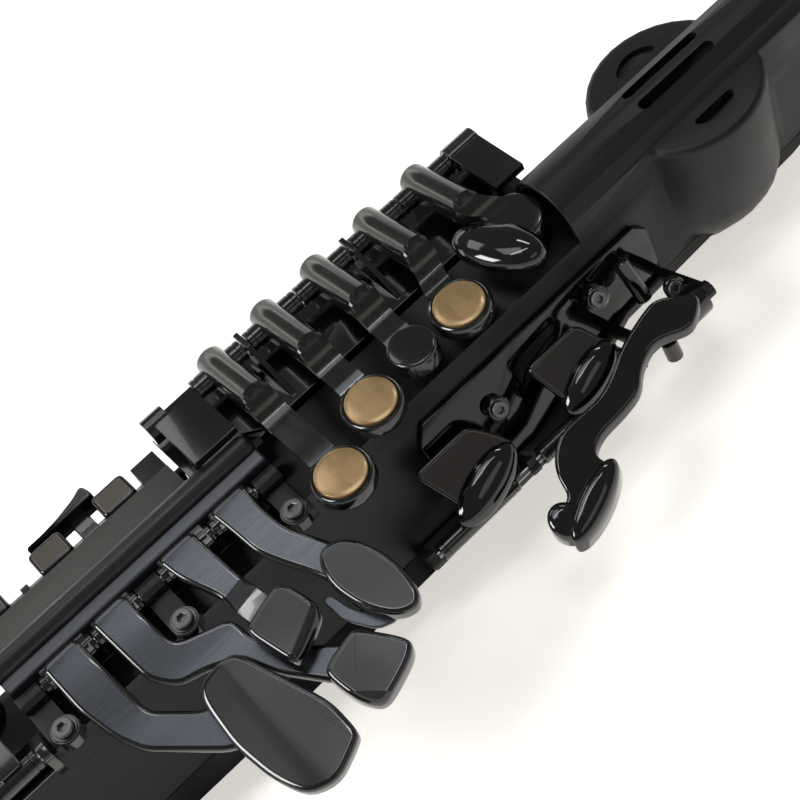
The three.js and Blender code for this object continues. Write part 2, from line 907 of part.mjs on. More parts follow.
function neckTube() {
  const radiusAt = (share) => lerp(neckShoulder, neckTipRadius, Math.min(1, share / neckTaperShare));
  const outer = neckBody(radiusAt, neckShoulderX, 0);
  const tenon = roundBar(
    "x", neckRadius, collarX - socketDepth + seatGap, neckShoulderX + overrun, [0, collarZ], cupSides,
  );
  const bore = neckBody(() => neckBore, collarX - socketDepth - overrun, overrun);
  return join(outer, tenon).subtract(bore);
}
add("neck_tube", neckTube(), "satinBlack");

// Mouthpiece group: +X along its axis to the tip, the reed on its -Z side
const mouthpieceGroup = new THREE.Group();
const neckEnd = neckPoint(1);
mouthpieceGroup.position.set(neckEnd.x, 0, neckEnd.z);
mouthpieceGroup.rotation.y = bend;
instrument.add(mouthpieceGroup);

// A round section squashed between a height above and a depth below its axis
function mouthRing(x, halfWidth, above, below) {
  return circleRing(cupSides, (c, s) => new THREE.Vector3(x, halfWidth * c, s > 0 ? above * s : below * s));
}

function tipRing(x, halfWidth, above, below) {
  const middle = (above + below) / 2;
  const half = (above - below) / 2;
  return circleRing(cupSides, (c, s) => new THREE.Vector3(x, halfWidth * c, middle + half * s));
}

function mouthpieceBody() {
  const low = mouthpieceTableLow;
  const beakX = lerp(mouthpieceBeakAt, mouthpieceLength, 0.5);
  const beakHalfWidth = lerp(mouthpieceRadius, mouthpieceTipHalfWidth, 0.5);
  return loft([
    mouthRing(0, mouthpieceRadius, mouthpieceRadius, mouthpieceRadius),
    mouthRing(mouthpieceTableAt, mouthpieceRadius * 0.96, mouthpieceRadius * 0.96, mouthpieceRadius),
    tipRing(mouthpieceBeakAt, mouthpieceRadius * 0.92, mouthpieceRadius * 0.9, -mouthpieceRadius),
    tipRing(beakX, beakHalfWidth, 0, -low - mouthpieceTipThickness / 2),
    tipRing(mouthpieceLength, mouthpieceTipHalfWidth, mouthpieceTipThickness - low, -low),
  ]);
}

function mouthpiece() {
  const table = block(
    [mouthpieceTableAt, -mouthpieceRadius - overrun, -mouthpieceRadius * 2],
    [mouthpieceLength + overrun, mouthpieceRadius + overrun, -mouthpieceTableLow],
  );
  const shankBore = roundBar(
    "x", neckTipRadius + seatGap, -overrun, neckInsert + seatGap, [0, 0], cupSides,
  );
  const throat = roundBar("x", mouthpieceThroat, neckInsert, mouthpieceBeakAt, [0, 0], cupSides);
  const window = block(
    [mouthpieceTableAt + ligatureWidth, -windowHalfWidth, -mouthpieceRadius],
    [mouthpieceLength - windowEnd * 4, windowHalfWidth, -mouthpieceTableLow / 2],
  );
  return mouthpieceBody().subtract(join(table, shankBore, throat, window));
}
add("mouthpiece", mouthpiece(), "glossBlack", mouthpieceGroup);

function reed() {
  const seat = -mouthpieceTableLow - seatGap;
  const end = mouthpieceLength - reedInset;
  const start = mouthpieceTableAt + reedInset;
  const outline = [
    [start, seat],
    [start, seat - reedThickness],
    [lerp(start, end, 0.5), seat - reedThickness],
    [end, seat - reedTip],
    [end, seat],
  ];
  return wing(outline, -reedHalfWidth, reedHalfWidth);
}
add("reed", reed(), "reed", mouthpieceGroup);

function ligature() {
  const start = mouthpieceTableAt + ligatureStart;
  const reedCorner = Math.hypot(reedHalfWidth, mouthpieceTableLow + seatGap + reedThickness);
  const inner = reedCorner + seatGap;
  const outer = inner + ligatureThickness;
  const band = roundBar("x", outer, start, start + ligatureWidth, [0, 0], roundSides);
  const bore = roundBar("x", inner, start - overrun, start + ligatureWidth + overrun, [0, 0], roundSides);
  return band.subtract(bore);
}
add("ligature", ligature(), "gold", mouthpieceGroup);

// Left-hand stack: rod, rail and hooped keys
function stackRod() {
  const from = stackBottomX + bossPlateThickness;
  const to = stackTopX - bossPlateThickness;
  return roundBar("x", rodRadius, from, to, [stackRodY, stackRodZ]);
}
add("upper_stack_rod", stackRod(), "steel");

const stackCentre = [stackRodY, stackRodZ];
const railInnerY = shoulderHalfWidth + seatGap;
const railOuterY = railInnerY + railBarThickness;
const jogInnerY = ridgeRailY + ridgeRailRadius + seatGap;
const jogOuterY = jogInnerY + railBarThickness;

function rodHole(fromX, toX, centre) {
  return roundBar("x", rodRadius + seatGap / 2, fromX, toX, centre);
}

// A thin post from the bar beside the floor out to the rod
function stackPost(x) {
  const halfRoot = railBarHeight / 2;
  const rootZ = floorZ - halfRoot;
  const outline = [
    [railInnerY, rootZ - halfRoot],
    [stackRodY + stackTubeRadius, stackRodZ - stackTubeRadius],
    [stackRodY + stackTubeRadius, stackRodZ + stackTubeRadius],
    [stackRodY - stackTubeRadius, stackRodZ + stackTubeRadius],
    [railInnerY, rootZ + halfRoot],
  ];
  return beam(outline, x - postThickness / 2, x + postThickness / 2);
}

// A boss round the rod's end with a flat plate reaching in to the ridge
function stackBoss(bossFromX, bossToX, plateFromX, plateToX, innerY, webInnerY) {
  const boss = roundBar("x", bossRadius, bossFromX, bossToX, stackCentre, cupSides);
  const plate = block(
    [plateFromX, innerY, bossPlateZ - bossPlateThickness],
    [plateToX, stackRodY, bossPlateZ],
  );
  const web = block(
    [plateFromX, webInnerY, floorZ - railBarHeight],
    [plateFromX + bossPlateThickness, webInnerY + railBarThickness, bossPlateZ],
  );
  return join(boss, plate, web);
}

function stackRail() {
  const outline = [
    [stackTopX, railInnerY],
    [stackTopX, railOuterY],
    [ridgeRailFromX + railJog, railOuterY],
    [ridgeRailFromX, jogOuterY],
    [stackBottomX, jogOuterY],
    [stackBottomX, jogInnerY],
    [ridgeRailFromX, jogInnerY],
    [ridgeRailFromX + railJog / 2, railInnerY],
  ];
  const bar = slab(outline, floorZ - railBarHeight, floorZ);
  const tray = slab(
    [
      [stackTopX, railInnerY],
      [stackTopX, trayOuterY],
      [stackBottomX, trayOuterY],
      [stackBottomX, jogInnerY],
      [ridgeRailFromX, jogInnerY],
      [ridgeRailFromX + railJog, railInnerY],
    ],
    trayTopZ - trayThickness,
    trayTopZ,
  );
  const top = stackBoss(
    stackTopX - topBossLength, stackTopX, stackTopX - topBossLength, stackTopX, topPlateInnerY, railInnerY,
  );
  const bottomPlateToX = stackBottomX + bossPlateThickness + bottomPlateLength;
  const bottom = stackBoss(
    stackBottomX, stackBottomX + bottomBossLength, stackBottomX + bossPlateThickness, bottomPlateToX,
    bottomPlateInnerY, jogInnerY,
  );
  const hole = rodHole(
    stackBottomX + bossPlateThickness - endPlay, stackTopX - bossPlateThickness + endPlay, stackCentre,
  );
  return join(bar, tray, top, bottom, ...postXs.map(stackPost)).subtract(hole);
}
add("upper_stack_rail", stackRail(), "lacquerGrey");

// Where each key's tube ends: half way to its neighbour, or short of a post or boss
function tubeSpan(index, keys, posts, fromX, toX) {
  const key = keys[index];
  const before = index === 0 ? toX : (keys[index - 1].armX + key.armX) / 2;
  const after = index === keys.length - 1 ? fromX : (keys[index + 1].armX + key.armX) / 2;
  const half = endPlay / 2;
  const postBefore = posts.find((x) => x < keys[Math.max(index - 1, 0)].armX && x > key.armX);
  const postAfter = posts.find((x) => x < key.armX && x > (keys[index + 1] ?? { armX: -Infinity }).armX);
  const high = postBefore === undefined ? before - half : postBefore - postThickness / 2 - endPlay;
  const low = postAfter === undefined ? after + half : postAfter + postThickness / 2 + endPlay;
  return [low, high];
}

// The rounded barrel of an arm climbs from its cap over the rod to the arch
function hoopBarrel(x) {
  const rise = armCapZ - archZ;
  const slope = Math.atan2(archZ - armCapZ, armCapY - archY);
  const round = armWidth / 2;
  const outline = [
    ...arc([0, -round], round, 0, 180, rodSides),
    [-round, -armDepth],
    [round, -armDepth],
  ];
  const length = Math.hypot(armCapY - archY, rise);
  const geometry = extrude(outline, length);
  geometry.rotateX(Math.PI / 2 - slope);
  geometry.translate(x, armCapY, armCapZ);
  return solid(geometry);
}

// The strap drops from the arch in a hollow curve and runs level to the touch
function hoopStrap(key) {
  const low = strapTopZ - strapThickness;
  const drop = archZ - strapTopZ;
  const outline = [
    [archY + strapFallY, archZ - armDepth / 2],
    [archY, archZ],
    [archY - strapFallY * 0.22, archZ - drop * 0.18],
    [archY - strapFallY * 0.5, archZ - drop * 0.62],
    [archY - strapFallY, strapTopZ],
    [key.touchY, strapTopZ],
    [key.touchY, low],
    [archY - strapFallY, low],
    [archY - strapFallY * 0.3, low + strapThickness],
    [archY + strapFallY, archZ - armDepth],
  ];
  const straight = beam(outline, key.armX - strapWidth / 2, key.armX + strapWidth / 2);
  const half = strapWidth / 2;
  const side = slab(
    [
      [key.armX - half, archY - strapFallY],
      [key.armX + half, archY - strapFallY],
      [key.touchX + half, key.touchY],
      [key.touchX - half, key.touchY],
    ],
    low,
    strapTopZ,
  );
  const reach = Math.abs(key.touchX - key.armX) > armWidth / 2;
  return reach ? join(straight, side) : straight;
}

function pearlSeat(x, y, topZ) {
  return roundBar("z", pearlRadius + seatGap, topZ - pearlThickness, topZ + overrun, [x, y], cupSides);
}

function pearlDisc(x, y, topZ) {
  const low = topZ - pearlThickness + seatGap;
  return roundBar("z", pearlRadius, low, low + pearlThickness + pearlProud, [x, y], cupSides);
}

function hoopKey(key, index) {
  const stackLow = stackBottomX + bossPlateThickness + bottomPlateLength;
  const [low, high] = tubeSpan(index, hoopKeys, postXs, stackLow, stackTopX - topBossLength);
  const tube = roundBar("x", stackTubeRadius, low, high, stackCentre, cupSides);
  const cup = roundBar(
    "z", key.radius, cupTopZ - cupDepth, cupTopZ + strapThickness / 2, [key.touchX, key.touchY], cupSides,
  );
  let whole = join(tube, hoopBarrel(key.armX), hoopStrap(key), cup);
  const bore = roundBar("x", rodRadius + bearingGap, low - overrun, high + overrun, stackCentre);
  whole = whole.subtract(bore);
  if (key.pearl) {
    const seatZ = cupTopZ + strapThickness / 2;
    const face = roundBar("z", key.radius, seatZ, strapTopZ + overrun, [key.touchX, key.touchY], cupSides);
    whole = whole.subtract(face).subtract(pearlSeat(key.touchX, key.touchY, seatZ));
  }
  return key.name === "key_front_f" ? whole.add(frontFPetal()) : whole;
}

// The large oval petal that stands over the front F key's disc
function frontFPetal() {
  const geometry = new THREE.SphereGeometry(1, cupSides, rodSides);
  geometry.scale(frontFPetalWidth / 2, frontFPetalLength / 2, frontFPetalRise);
  geometry.rotateZ(degrees(frontFPetalDegrees));
  geometry.translate(stackTopX - frontFPetalInset, archY - frontFPetalBeyondArch, strapTopZ);
  return solid(geometry);
}

hoopKeys.forEach((key, index) => {
  add(key.name, hoopKey(key, index), "lacquerGrey");
  if (key.pearl) add(key.pearl, pearlDisc(key.touchX, key.touchY, cupTopZ + strapThickness / 2), "gold");
});

// Little-finger table: brackets, rod and four keys whose tops fall away from the rod
const tableCentre = [tableRodY, tableRodZ];

function tableBracket() {
  const low = tableFloorZ + seatGap;
  const base = block(
    [tableFromX, -tableBaseHalfWidth, low],
    [tableToX, tableBaseHalfWidth, low + tableBaseThickness],
  );
  const posts = tableBosses.map(({ fromX: a, toX: b }) => {
    const post = block([a, tablePostY, low], [b, tableBaseHalfWidth, tablePostZ]);
    return post.add(roundBar("x", tableTubeRadius, a, b, tableCentre));
  });
  const hole = rodHole(tableFromX + bossPlateThickness, tableToX - bossPlateThickness, tableCentre);
  return join(base, ...posts).subtract(hole).subtract(casingBody(-seatGap));
}
add("table_bracket", tableBracket(), "satinBlack");

function tableRod() {
  const inset = bossPlateThickness + endPlay;
  return roundBar("x", rodRadius, tableFromX + inset, tableToX - inset, tableCentre);
}
add("table_rod", tableRod(), "steel");

// Each key's tube, arm and touch: their places as shares of the table's length from its low end and of its
// reach from the rod, and their outlines as shares of their own boxes
const tableKeyShares = [
  {
    name: "key_g_sharp",
    tube: [0.7414, 0.9074],
    strapTop: tableStrapTop,
    armBox: [[0.7623, 0.4946], [0.9982, -0.0516]],
    armShares: [
      [0, 1], [0.58, 1], [0.54, 0.76], [0.58, 0.56], [0.79, 0.34], [1, 0.08],
      [0.54, 0], [0.4, 0.22], [0.21, 0.41], [0.08, 0.57], [0.05, 0.78],
    ],
    touchBox: [[0.8584, 0.7527], [1.0417, 0.3613]],
    touchShares: [
      [0.12, 0.91], [0.32, 1], [0.6, 0.97], [0.8, 0.85], [0.95, 0.62], [1, 0.35],
      [0.92, 0.09], [0.72, 0], [0.38, 0.08], [0.12, 0.34], [0.01, 0.66],
    ],
    touchTop: tableTouchTop,
    touchDepth: 0.8,
  },
  {
    name: "key_c_sharp",
    tube: [0.5408, 0.7377],
    strapTop: tableStrapTop,
    armBox: [[0.5581, 0.4086], [0.735, -0.0516]],
    armShares: [[0, 1], [0.77, 1], [0.84, 0.45], [1, 0.08], [0.44, 0], [0.33, 0.45], [0.08, 0.75]],
    touchBox: [[0.5935, 0.6043], [0.8004, 0.3398]],
    touchShares: [
      [0.04, 0.78], [0.17, 0.86], [0.75, 1], [0.9, 0.9], [1, 0.44],
      [0.95, 0.28], [0.72, 0.16], [0.3, 0], [0.2, 0.08],
    ],
    touchTop: tableTouchTop,
    touchDepth: 0.6625,
  },
  {
    name: "key_low_b",
    tube: [0.2849, 0.4537],
    strapTop: tableLowStrapTop,
    armBox: [[0.2995, 0.7849], [0.8167, -0.0516]],
    armShares: [
      [0, 1], [0.25, 1], [0.26, 0.74], [0.28, 0.68], [0.59, 0.6], [0.6, 0.48], [0.68, 0.37], [1, 0.14],
      [0.84, 0], [0.56, 0.29], [0.47, 0.45], [0.28, 0.51], [0.13, 0.54], [0.03, 0.64], [0.02, 0.72],
    ],
    touchBox: [[0.6733, 0.9097], [0.9093, 0.6495]],
    touchShares: [
      [0.01, 0.8], [0.12, 0.9], [0.56, 1], [0.66, 0.97], [0.97, 0.46], [1, 0.3],
      [0.84, 0.17], [0.35, 0], [0.2, 0.05], [0.06, 0.31],
    ],
    touchTop: tableHighTouchTop,
    touchDepth: 1,
  },
  {
    name: "key_low_b_flat",
    tube: [0.0871, 0.2813],
    strapTop: tableLowStrapTop,
    armBox: [[0.1152, 0.6882], [0.49, -0.0516]],
    armShares: [
      [0, 1], [0.35, 1], [0.38, 0.5], [0.68, 0.32], [1, 0.26],
      [0.95, 0], [0.62, 0.09], [0.16, 0.37], [0.06, 0.51], [0, 0.7],
    ],
    touchBox: [[0.3648, 1], [0.6388, 0.4108]],
    touchShares: [
      [0.13, 0.97], [0.25, 1], [0.58, 1], [0.68, 0.94], [1, 0.38], [0.99, 0.15], [0.93, 0.11],
      [0.52, 0.02], [0.2, 0.09], [0.06, 0.3], [0, 0.59], [0.06, 0.88],
    ],
    touchTop: tableHighTouchTop,
    touchDepth: 0.75,
  },
];

function tableOutline(box, shares) {
  const [from, to] = box.map(([along, out]) => [lerp(tableFromX, tableToX, along), -tableReach * out]);
  return outlineIn(from, to, shares);
}

function tableKey(key) {
  const [tubeFromX, tubeToX] = key.tube.map((along) => lerp(tableFromX, tableToX, along));
  const tube = roundBar("x", tableTubeRadius, tubeFromX, tubeToX, [0, 0], cupSides);
  const armOutline = tableOutline(key.armBox, key.armShares);
  const touchOutline = tableOutline(key.touchBox, key.touchShares);
  const strapLow = key.strapTop - tableStrapThickness;
  const touchLow = key.touchTop - tableTouchDepth * key.touchDepth;
  const arm = slab(armOutline, strapLow, key.strapTop);
  const touch = slab(touchOutline, touchLow, key.touchTop);
  const stem = slab(armOutline, strapLow, touchLow + overrun)
    .intersect(slab(touchOutline, strapLow - overrun, key.touchTop));
  const bore = roundBar(
    "x", rodRadius + bearingGap, tubeFromX - overrun, tubeToX + overrun, [0, 0],
  );
  return join(tube, arm, touch, stem).subtract(bore);
}

const tableGroup = new THREE.Group();
tableGroup.position.set(0, tableRodY, tableRodZ);
tableGroup.rotation.x = degrees(tableTilt);
instrument.add(tableGroup);
tableKeyShares.forEach((key) => add(key.name, tableKey(key), "strapGrey", tableGroup));

// Side keys: brackets, rod, three block touches and the fin lever
const sideCentre = [sideRodY, sideRodZ];
const sideRodToX = deckFromX + bossPlateThickness;

function sideLug(fromX, toX) {
  const low = sideRodZ - sideTubeRadius;
  const foot = block([fromX, deckOuterY + seatGap, deckBottomZ], [toX, sideRodY, sideRodZ]);
  const boss = roundBar("x", sideTubeRadius, fromX, toX, sideCentre);
  const heel = block([fromX, deckOuterY + seatGap, low], [toX, sideRodY + sideTubeRadius, sideRodZ]);
  return join(foot, boss, heel);
}

function sideBracket() {
  const bar = block(
    [deckToX, deckOuterY + seatGap, deckBottomZ],
    [sideRodToX, deckOuterY + seatGap + casingWall, sideRodZ - sideTubeRadius - seatGap],
  );
  const endBlock = block(
    [deckFromX - sideEndBlock, deckOuterY + seatGap, sideRodZ - sideEndBlock],
    [deckFromX, sideEndBlockY, sideEndBlockZ],
  );
  const lugX = deckFromX - sideLugInset;
  const middleLug = sideLug(lugX - sideLugThickness / 2, lugX + sideLugThickness / 2);
  const endLug = sideLug(deckToX, deckToX + sideLugThickness);
  const hole = rodHole(deckToX - overrun, deckFromX - sideEndBlock / 2, sideCentre);
  return join(bar, endBlock, endLug, middleLug).subtract(hole).subtract(casingBody(-seatGap));
}
add("side_bracket", sideBracket(), "satinBlack");

function sideRod() {
  const from = deckToX + seatGap;
  return roundBar("x", rodRadius, from, deckFromX - sideEndBlock / 2 - endPlay, sideCentre);
}
add("side_rod", sideRod(), "steel");

function sideKey({ along }) {
  const x = lerp(deckFromX, deckToX, along);
  const half = sideTouchLength / 2;
  const tube = roundBar("x", sideTubeRadius, x - half, x + half, sideCentre);
  const touch = block(
    [x - half, sideTouchInnerY, sideTouchTopZ - sideTouchDepth],
    [x + half, sideTouchOuterY, sideTouchTopZ],
  );
  const bore = roundBar("x", rodRadius + bearingGap, x - half - overrun, x + half + overrun, sideCentre);
  return join(tube, touch).subtract(bore);
}
sideKeyShares.forEach((key) => add(key.name, sideKey(key), "glossBlack"));

// Plan of the fin, as shares of its length and width
const finShares = [[0, 0], [1, 0], [1, 0.3], [0.96, 1], [0.8, 0.66], [0.5, 0.36], [0.2, 0.22], [0, 0.16]];

function finLever() {
  const outline = outlineIn([finFromX, finInnerY], [finToX, finOuterY], finShares);
  const fin = slab(outline, finTopZ - finDepth, finTopZ);
  const half = finHubLength / 2;
  const tube = roundBar("x", sideTubeRadius, finX - half, finX + half, sideCentre);
  const arm = block(
    [finX - half, sideRodY, sideRodZ - finArmThickness],
    [finX + half, finInnerY + overrun, sideRodZ],
  );
  const bore = roundBar("x", rodRadius + bearingGap, finX - finHubLength, finX + finHubLength, sideCentre);
  return join(fin, tube, arm).subtract(bore);
}
add("key_high_f_sharp", finLever(), "lacquerGrey");

// Palm keys: a strip on the flank with lugs for the rod and for the long lever's hinge
const palmCentre = [palmRodY, palmRodZ];
const palmFCentre = [palmFRodY, palmFRodZ];

// Where the strip meets the slanted side, above the casing's ledge
function ledgeY(x) {
  const { halfWidth } = sectionAt(x);
  return ledgeAt(halfWidth) - halfWidth - seatGap;
}

function palmLug(x, centre) {
  const half = palmLugThickness / 2;
  const boss = roundBar("x", palmLugRadius, x - half, x + half, centre);
  const rootY = ledgeY(x);
  const web = beam(
    [
      [rootY, palmStripLowZ],
      [rootY, palmStripHighZ],
      [centre[0], centre[1] + palmLugRadius * 0.6],
      [centre[0] - palmLugRadius * 0.6, centre[1]],
      [centre[0], centre[1] - palmLugRadius],
    ].reverse(),
    x - half,
    x + half,
  );
  return join(boss, web);
}

function palmBracket() {
  const xs = [palmLugXs[0], ...sectionShares.map(({ along }) => neckEndX - along * casingLength)]
    .filter((x) => x <= palmLugXs[0] && x >= palmLugXs.at(-1));
  const stations = [...xs, palmLugXs.at(-1)];
  const inner = stations.map((x) => [x, ledgeY(x)]);
  const outer = stations.map((x) => [x, -sectionAt(x).halfWidth - palmStripReach]).reverse();
  const strip = slab([...inner, ...outer], palmStripLowZ, palmStripHighZ);
  const lugs = palmLugXs.map((x, i) => palmLug(x, i < 2 ? palmFCentre : palmCentre));
  const far = palmLugXs.at(-1) - palmLugThickness;
  const hole = rodHole(far, palmLugXs[2] + palmLugThickness, palmCentre);
  const leverPin = roundBar("x", rodRadius, palmLugXs[1], palmLugXs[0], palmFCentre);
  return join(strip, ...lugs).subtract(hole).subtract(casingBody(-seatGap)).add(leverPin);
}
add("palm_bracket", palmBracket(), "satinBlack");

function palmRod() {
  const from = palmLugXs.at(-1) - palmLugThickness / 2 + seatGap;
  return roundBar("x", rodRadius, from, palmLugXs[2] + palmLugThickness / 2 - seatGap, palmCentre);
}
add("palm_rod", palmRod(), "steel");

// Each palm key's ends and its tube's ends as shares of the palm rod's length, and its plan as shares of
// its own length and of its reach from the inner edge outwards
const palmTouchShares = [
  {
    name: "key_palm_d",
    from: 0.903,
    to: 0.6606,
    tubeFrom: 0.9773,
    tubeTo: 0.7121,
    outline: [
      [0, 1], [0.77, 1], [0.98, 0.62], [1, 0.5], [0.94, 0.31], [0.8, 0.14],
      [0.64, 0.06], [0.32, 0], [0.14, 0.08], [0.16, 0.34],
    ],
  },
  {
    name: "key_palm_e_flat",
    from: 0.5083,
    to: 0.2833,
    tubeFrom: 0.6212,
    tubeTo: 0.2879,
    outline: [
      [0, 1], [0.8, 1], [0.91, 0.65], [1, 0.4], [0.93, 0.28], [0.71, 0.12],
      [0.37, 0.06], [0.2, 0.14], [0.1, 0.42],
    ],
  },
];

function palmKey(key) {
  const [fromX, toX, tubeFromX, tubeToX] = [key.from, key.to, key.tubeFrom, key.tubeTo]
    .map((along) => lerp(palmFromX, palmToX, along));
  const outerY = palmInnerY - palmKeyWidthY;
  const outline = outlineIn([fromX, outerY], [toX, palmInnerY], key.outline);
  const drop = palmKeyWidthY * palmTopSlope;
  const section = [
    [palmInnerY + overrun, palmInnerZ + overrun * palmTopSlope],
    [outerY, palmInnerZ - drop],
    [outerY, palmInnerZ - drop - palmThickness],
    [palmRodY + palmTubeRadius * 0.6, palmRodZ + palmTubeRadius],
    [palmInnerY + overrun, palmInnerZ - palmThickness],
  ];
  const touch = beam(section, fromX, toX).intersect(slab(outline, 0, palmInnerZ + palmThickness));
  const tube = roundBar("x", palmTubeRadius, tubeFromX, tubeToX, palmCentre, cupSides);
  const web = beam(
    [
      [palmRodY - palmTubeRadius * 0.5, palmRodZ],
      [palmRodY + palmTubeRadius * 0.5, palmRodZ],
      [palmRodY + palmTubeRadius * 1.4, palmRodZ + palmTubeRadius * 2.4],
      [palmRodY + palmTubeRadius * 0.6, palmRodZ + palmTubeRadius * 2],
    ],
    lerp(fromX, toX, 0.35),
    lerp(fromX, toX, 0.7),
  );
  const boreToX = Math.max(toX, tubeToX) + overrun;
  const bore = roundBar("x", rodRadius + bearingGap, tubeFromX - overrun, boreToX, palmCentre);
  return join(touch, tube, web).subtract(bore);
}
palmTouchShares.forEach((key) => add(key.name, palmKey(key), "glossBlack"));

// Long S-shaped palm lever: its plan as shares of its length and reach
const leverShares = [
  [0.905, 1], [0.766, 0.966], [0.664, 0.86], [0.551, 0.78], [0.327, 0.8], [0.231, 0.693],
  [0.179, 0.558], [0.153, 0.352], [0.039, 0.339], [0, 0.241], [0.063, 0], [0.276, 0.156],
  [0.381, 0.267], [0.348, 0.46], [0.427, 0.542], [0.576, 0.548], [0.682, 0.579],
  [0.77, 0.712], [0.884, 0.794], [1, 0.815], [1, 0.95],
];

function palmLever() {
  const outline = outlineIn([leverFromX, leverOuterY], [leverToX, leverRootY], leverShares);
  const lowZ = leverRootZ - (leverRootY - leverOuterY) * leverSlope;
  const section = [
    [leverRootY, leverRootZ],
    [leverOuterY, lowZ],
    [leverOuterY, lowZ - leverThickness],
    [leverRootY, leverRootZ - leverThickness],
  ];
  const plate = beam(section, leverFromX, leverToX).intersect(slab(outline, 0, leverRootZ + overrun));
  const from = palmFHingeX - palmFHingeLength / 2;
  const to = palmFHingeX + palmFHingeLength / 2;
  const tube = roundBar("x", palmTubeRadius, from, to, palmFCentre, cupSides);
  const web = block(
    [from, palmFRodY - palmTubeRadius, palmFRodZ],
    [leverToX, palmFRodY + palmTubeRadius / 2, leverRootZ - leverThickness],
  );
  const bore = roundBar("x", rodRadius + bearingGap, from - overrun, to + overrun, palmFCentre);
  return join(plate, tube, web).subtract(bore);
}
add("key_palm_f", palmLever(), "lacquerGrey");

// Right-hand stack: rod, rail, three cups with touch discs and two little-finger touches
const lowCentre = [lowRodY, lowRodZ];

function lowRod() {
  const from = lowStackFromX + lowLugThickness / 2;
  return roundBar("x", rodRadius, from, lowStackToX - lowLugThickness / 2, lowCentre);
}
add("lower_stack_rod", lowRod(), "steel");

function lowLug(fromX) {
  const toX = fromX + lowLugThickness;
  const boss = roundBar("x", lowTubeRadius, fromX, toX, lowCentre);
  const foot = block(
    [fromX, lowRodY - lowTubeRadius, shoulderZ],
    [toX, lowRodY + lowTubeRadius, lowRodZ],
  );
  return join(boss, foot);
}

function lowRail() {
  const low = tableFloorZ + seatGap;
  const base = block(
    [lowStackFromX, -floorHalfWidth, low],
    [lowStackToX, -floorHalfWidth + lowBaseHalfWidth * 2, low + lowBaseThickness],
  );
  const heel = block(
    [lowStackFromX, lowRodY - lowTubeRadius, low],
    [lowStackToX, -floorHalfWidth + overrun, low + lowBaseThickness],
  );
  const lugs = [lowStackFromX, lowStackToX - lowMiddleLugInset, lowStackToX - lowLugThickness].map(lowLug);
  const hole = rodHole(
    lowStackFromX + lowLugThickness / 2 - endPlay, lowStackToX - lowLugThickness / 2 + endPlay, lowCentre,
  );
  return join(base, heel, ...lugs).subtract(hole).subtract(casingBody(-seatGap));
}
add("lower_stack_rail", lowRail(), "lacquerGrey");

function lowTube(key) {
  const half = key.length / 2;
  return roundBar("x", lowTubeRadius, key.x - half, key.x + half, lowCentre, cupSides);
}

function lowBore(key) {
  return roundBar("x", rodRadius + bearingGap, key.x - key.length, key.x + key.length, lowCentre);
}

function lowArm(key, reachY, width) {
  const outline = [
    [lowRodY, lowRodZ],
    [lowRodY + lowTubeRadius, lowRodZ],
    [lowRodY + lowTubeRadius * 2, lowArmTopZ - lowArmThickness],
    [reachY, lowArmTopZ - lowArmThickness],
    [reachY, lowArmTopZ],
    [lowRodY, lowArmTopZ],
  ];
  return beam(outline, key.x - width / 2, key.x + width / 2);
}

function lowKey(key) {
  const seatZ = lowCupTopZ;
  const cup = roundBar("z", cupRadius, seatZ - lowCupDepth, seatZ, [key.x, lowCupY], cupSides);
  const arm = lowArm(key, lowCupY, lowArmWidth);
  return join(lowTube(key), arm, cup)
    .subtract(pearlSeat(key.x, lowCupY, seatZ))
    .subtract(lowBore(key));
}

lowKeys.forEach((key) => {
  add(key.name, lowKey(key), "lacquerGrey");
  add(key.pearl, pearlDisc(key.x, lowCupY, lowCupTopZ), "gold");
});

function pinkyKey(key) {
  const arm = lowArm(key, pinkyInnerY + overrun, key.length);
  const touch = block(
    [key.x - pinkyWidth / 2, pinkyInnerY, lowArmTopZ - pinkyDepth],
    [key.x + pinkyWidth / 2, pinkyOuterY, lowArmTopZ + overrun],
  );
  return join(lowTube(key), arm, touch).subtract(lowBore(key));
}
pinkyKeys.forEach((key) => add(key.name, pinkyKey(key), "glossBlack"));

// Back: thumb rest with the octave key's lugs
const backPlateZ = bellyZ - seatGap;

function thumbRest() {
  const plate = block(
    [thumbPlateFromX, -thumbPlateHalfWidth, backPlateZ - thumbPlateThickness],
    [thumbPlateToX, thumbPlateHalfWidth, backPlateZ],
  );
  const pad = roundBar("z", thumbRestRadius, thumbPadZ, backPlateZ - overrun, [thumbRestX, 0], cupSides);
  const lugInnerY = octaveHalfWidth + endPlay;
  const lug = block(
    [octaveX - octaveLugReach, lugInnerY, octaveZ - octaveLugReach],
    [octaveX + octaveLugReach, lugInnerY + octaveLugWidth, backPlateZ - overrun],
  );
  const pinHole = roundBar(
    "y", octavePinRadius + bearingGap, -thumbPlateHalfWidth, thumbPlateHalfWidth, [octaveX, octaveZ],
  );
  const well = block(
    [octaveX - octaveLugReach, -lugInnerY, octaveZ],
    [thumbPlateToX + overrun, lugInnerY, bellyZ],
  );
  return join(plate, pad, lug, mirrorY(lug)).subtract(join(pinHole, well));
}
add("thumb_rest", thumbRest(), "satinBlack");

function octaveKey() {
  const low = octaveZ - octaveThickness / 2;
  const lever = block(
    [octaveX, -octaveHalfWidth, low],
    [octaveToX, octaveHalfWidth, low + octaveThickness],
  );
  const axle = [octaveX, octaveZ];
  const hub = roundBar("y", octaveHubRadius, -octaveHalfWidth, octaveHalfWidth, axle, cupSides);
  const pinEnd = octaveHalfWidth + endPlay + octaveLugWidth;
  const pin = roundBar("y", octavePinRadius, -pinEnd, pinEnd, axle);
  return join(lever, hub, pin);
}
add("key_octave", octaveKey(), "glossBlack");

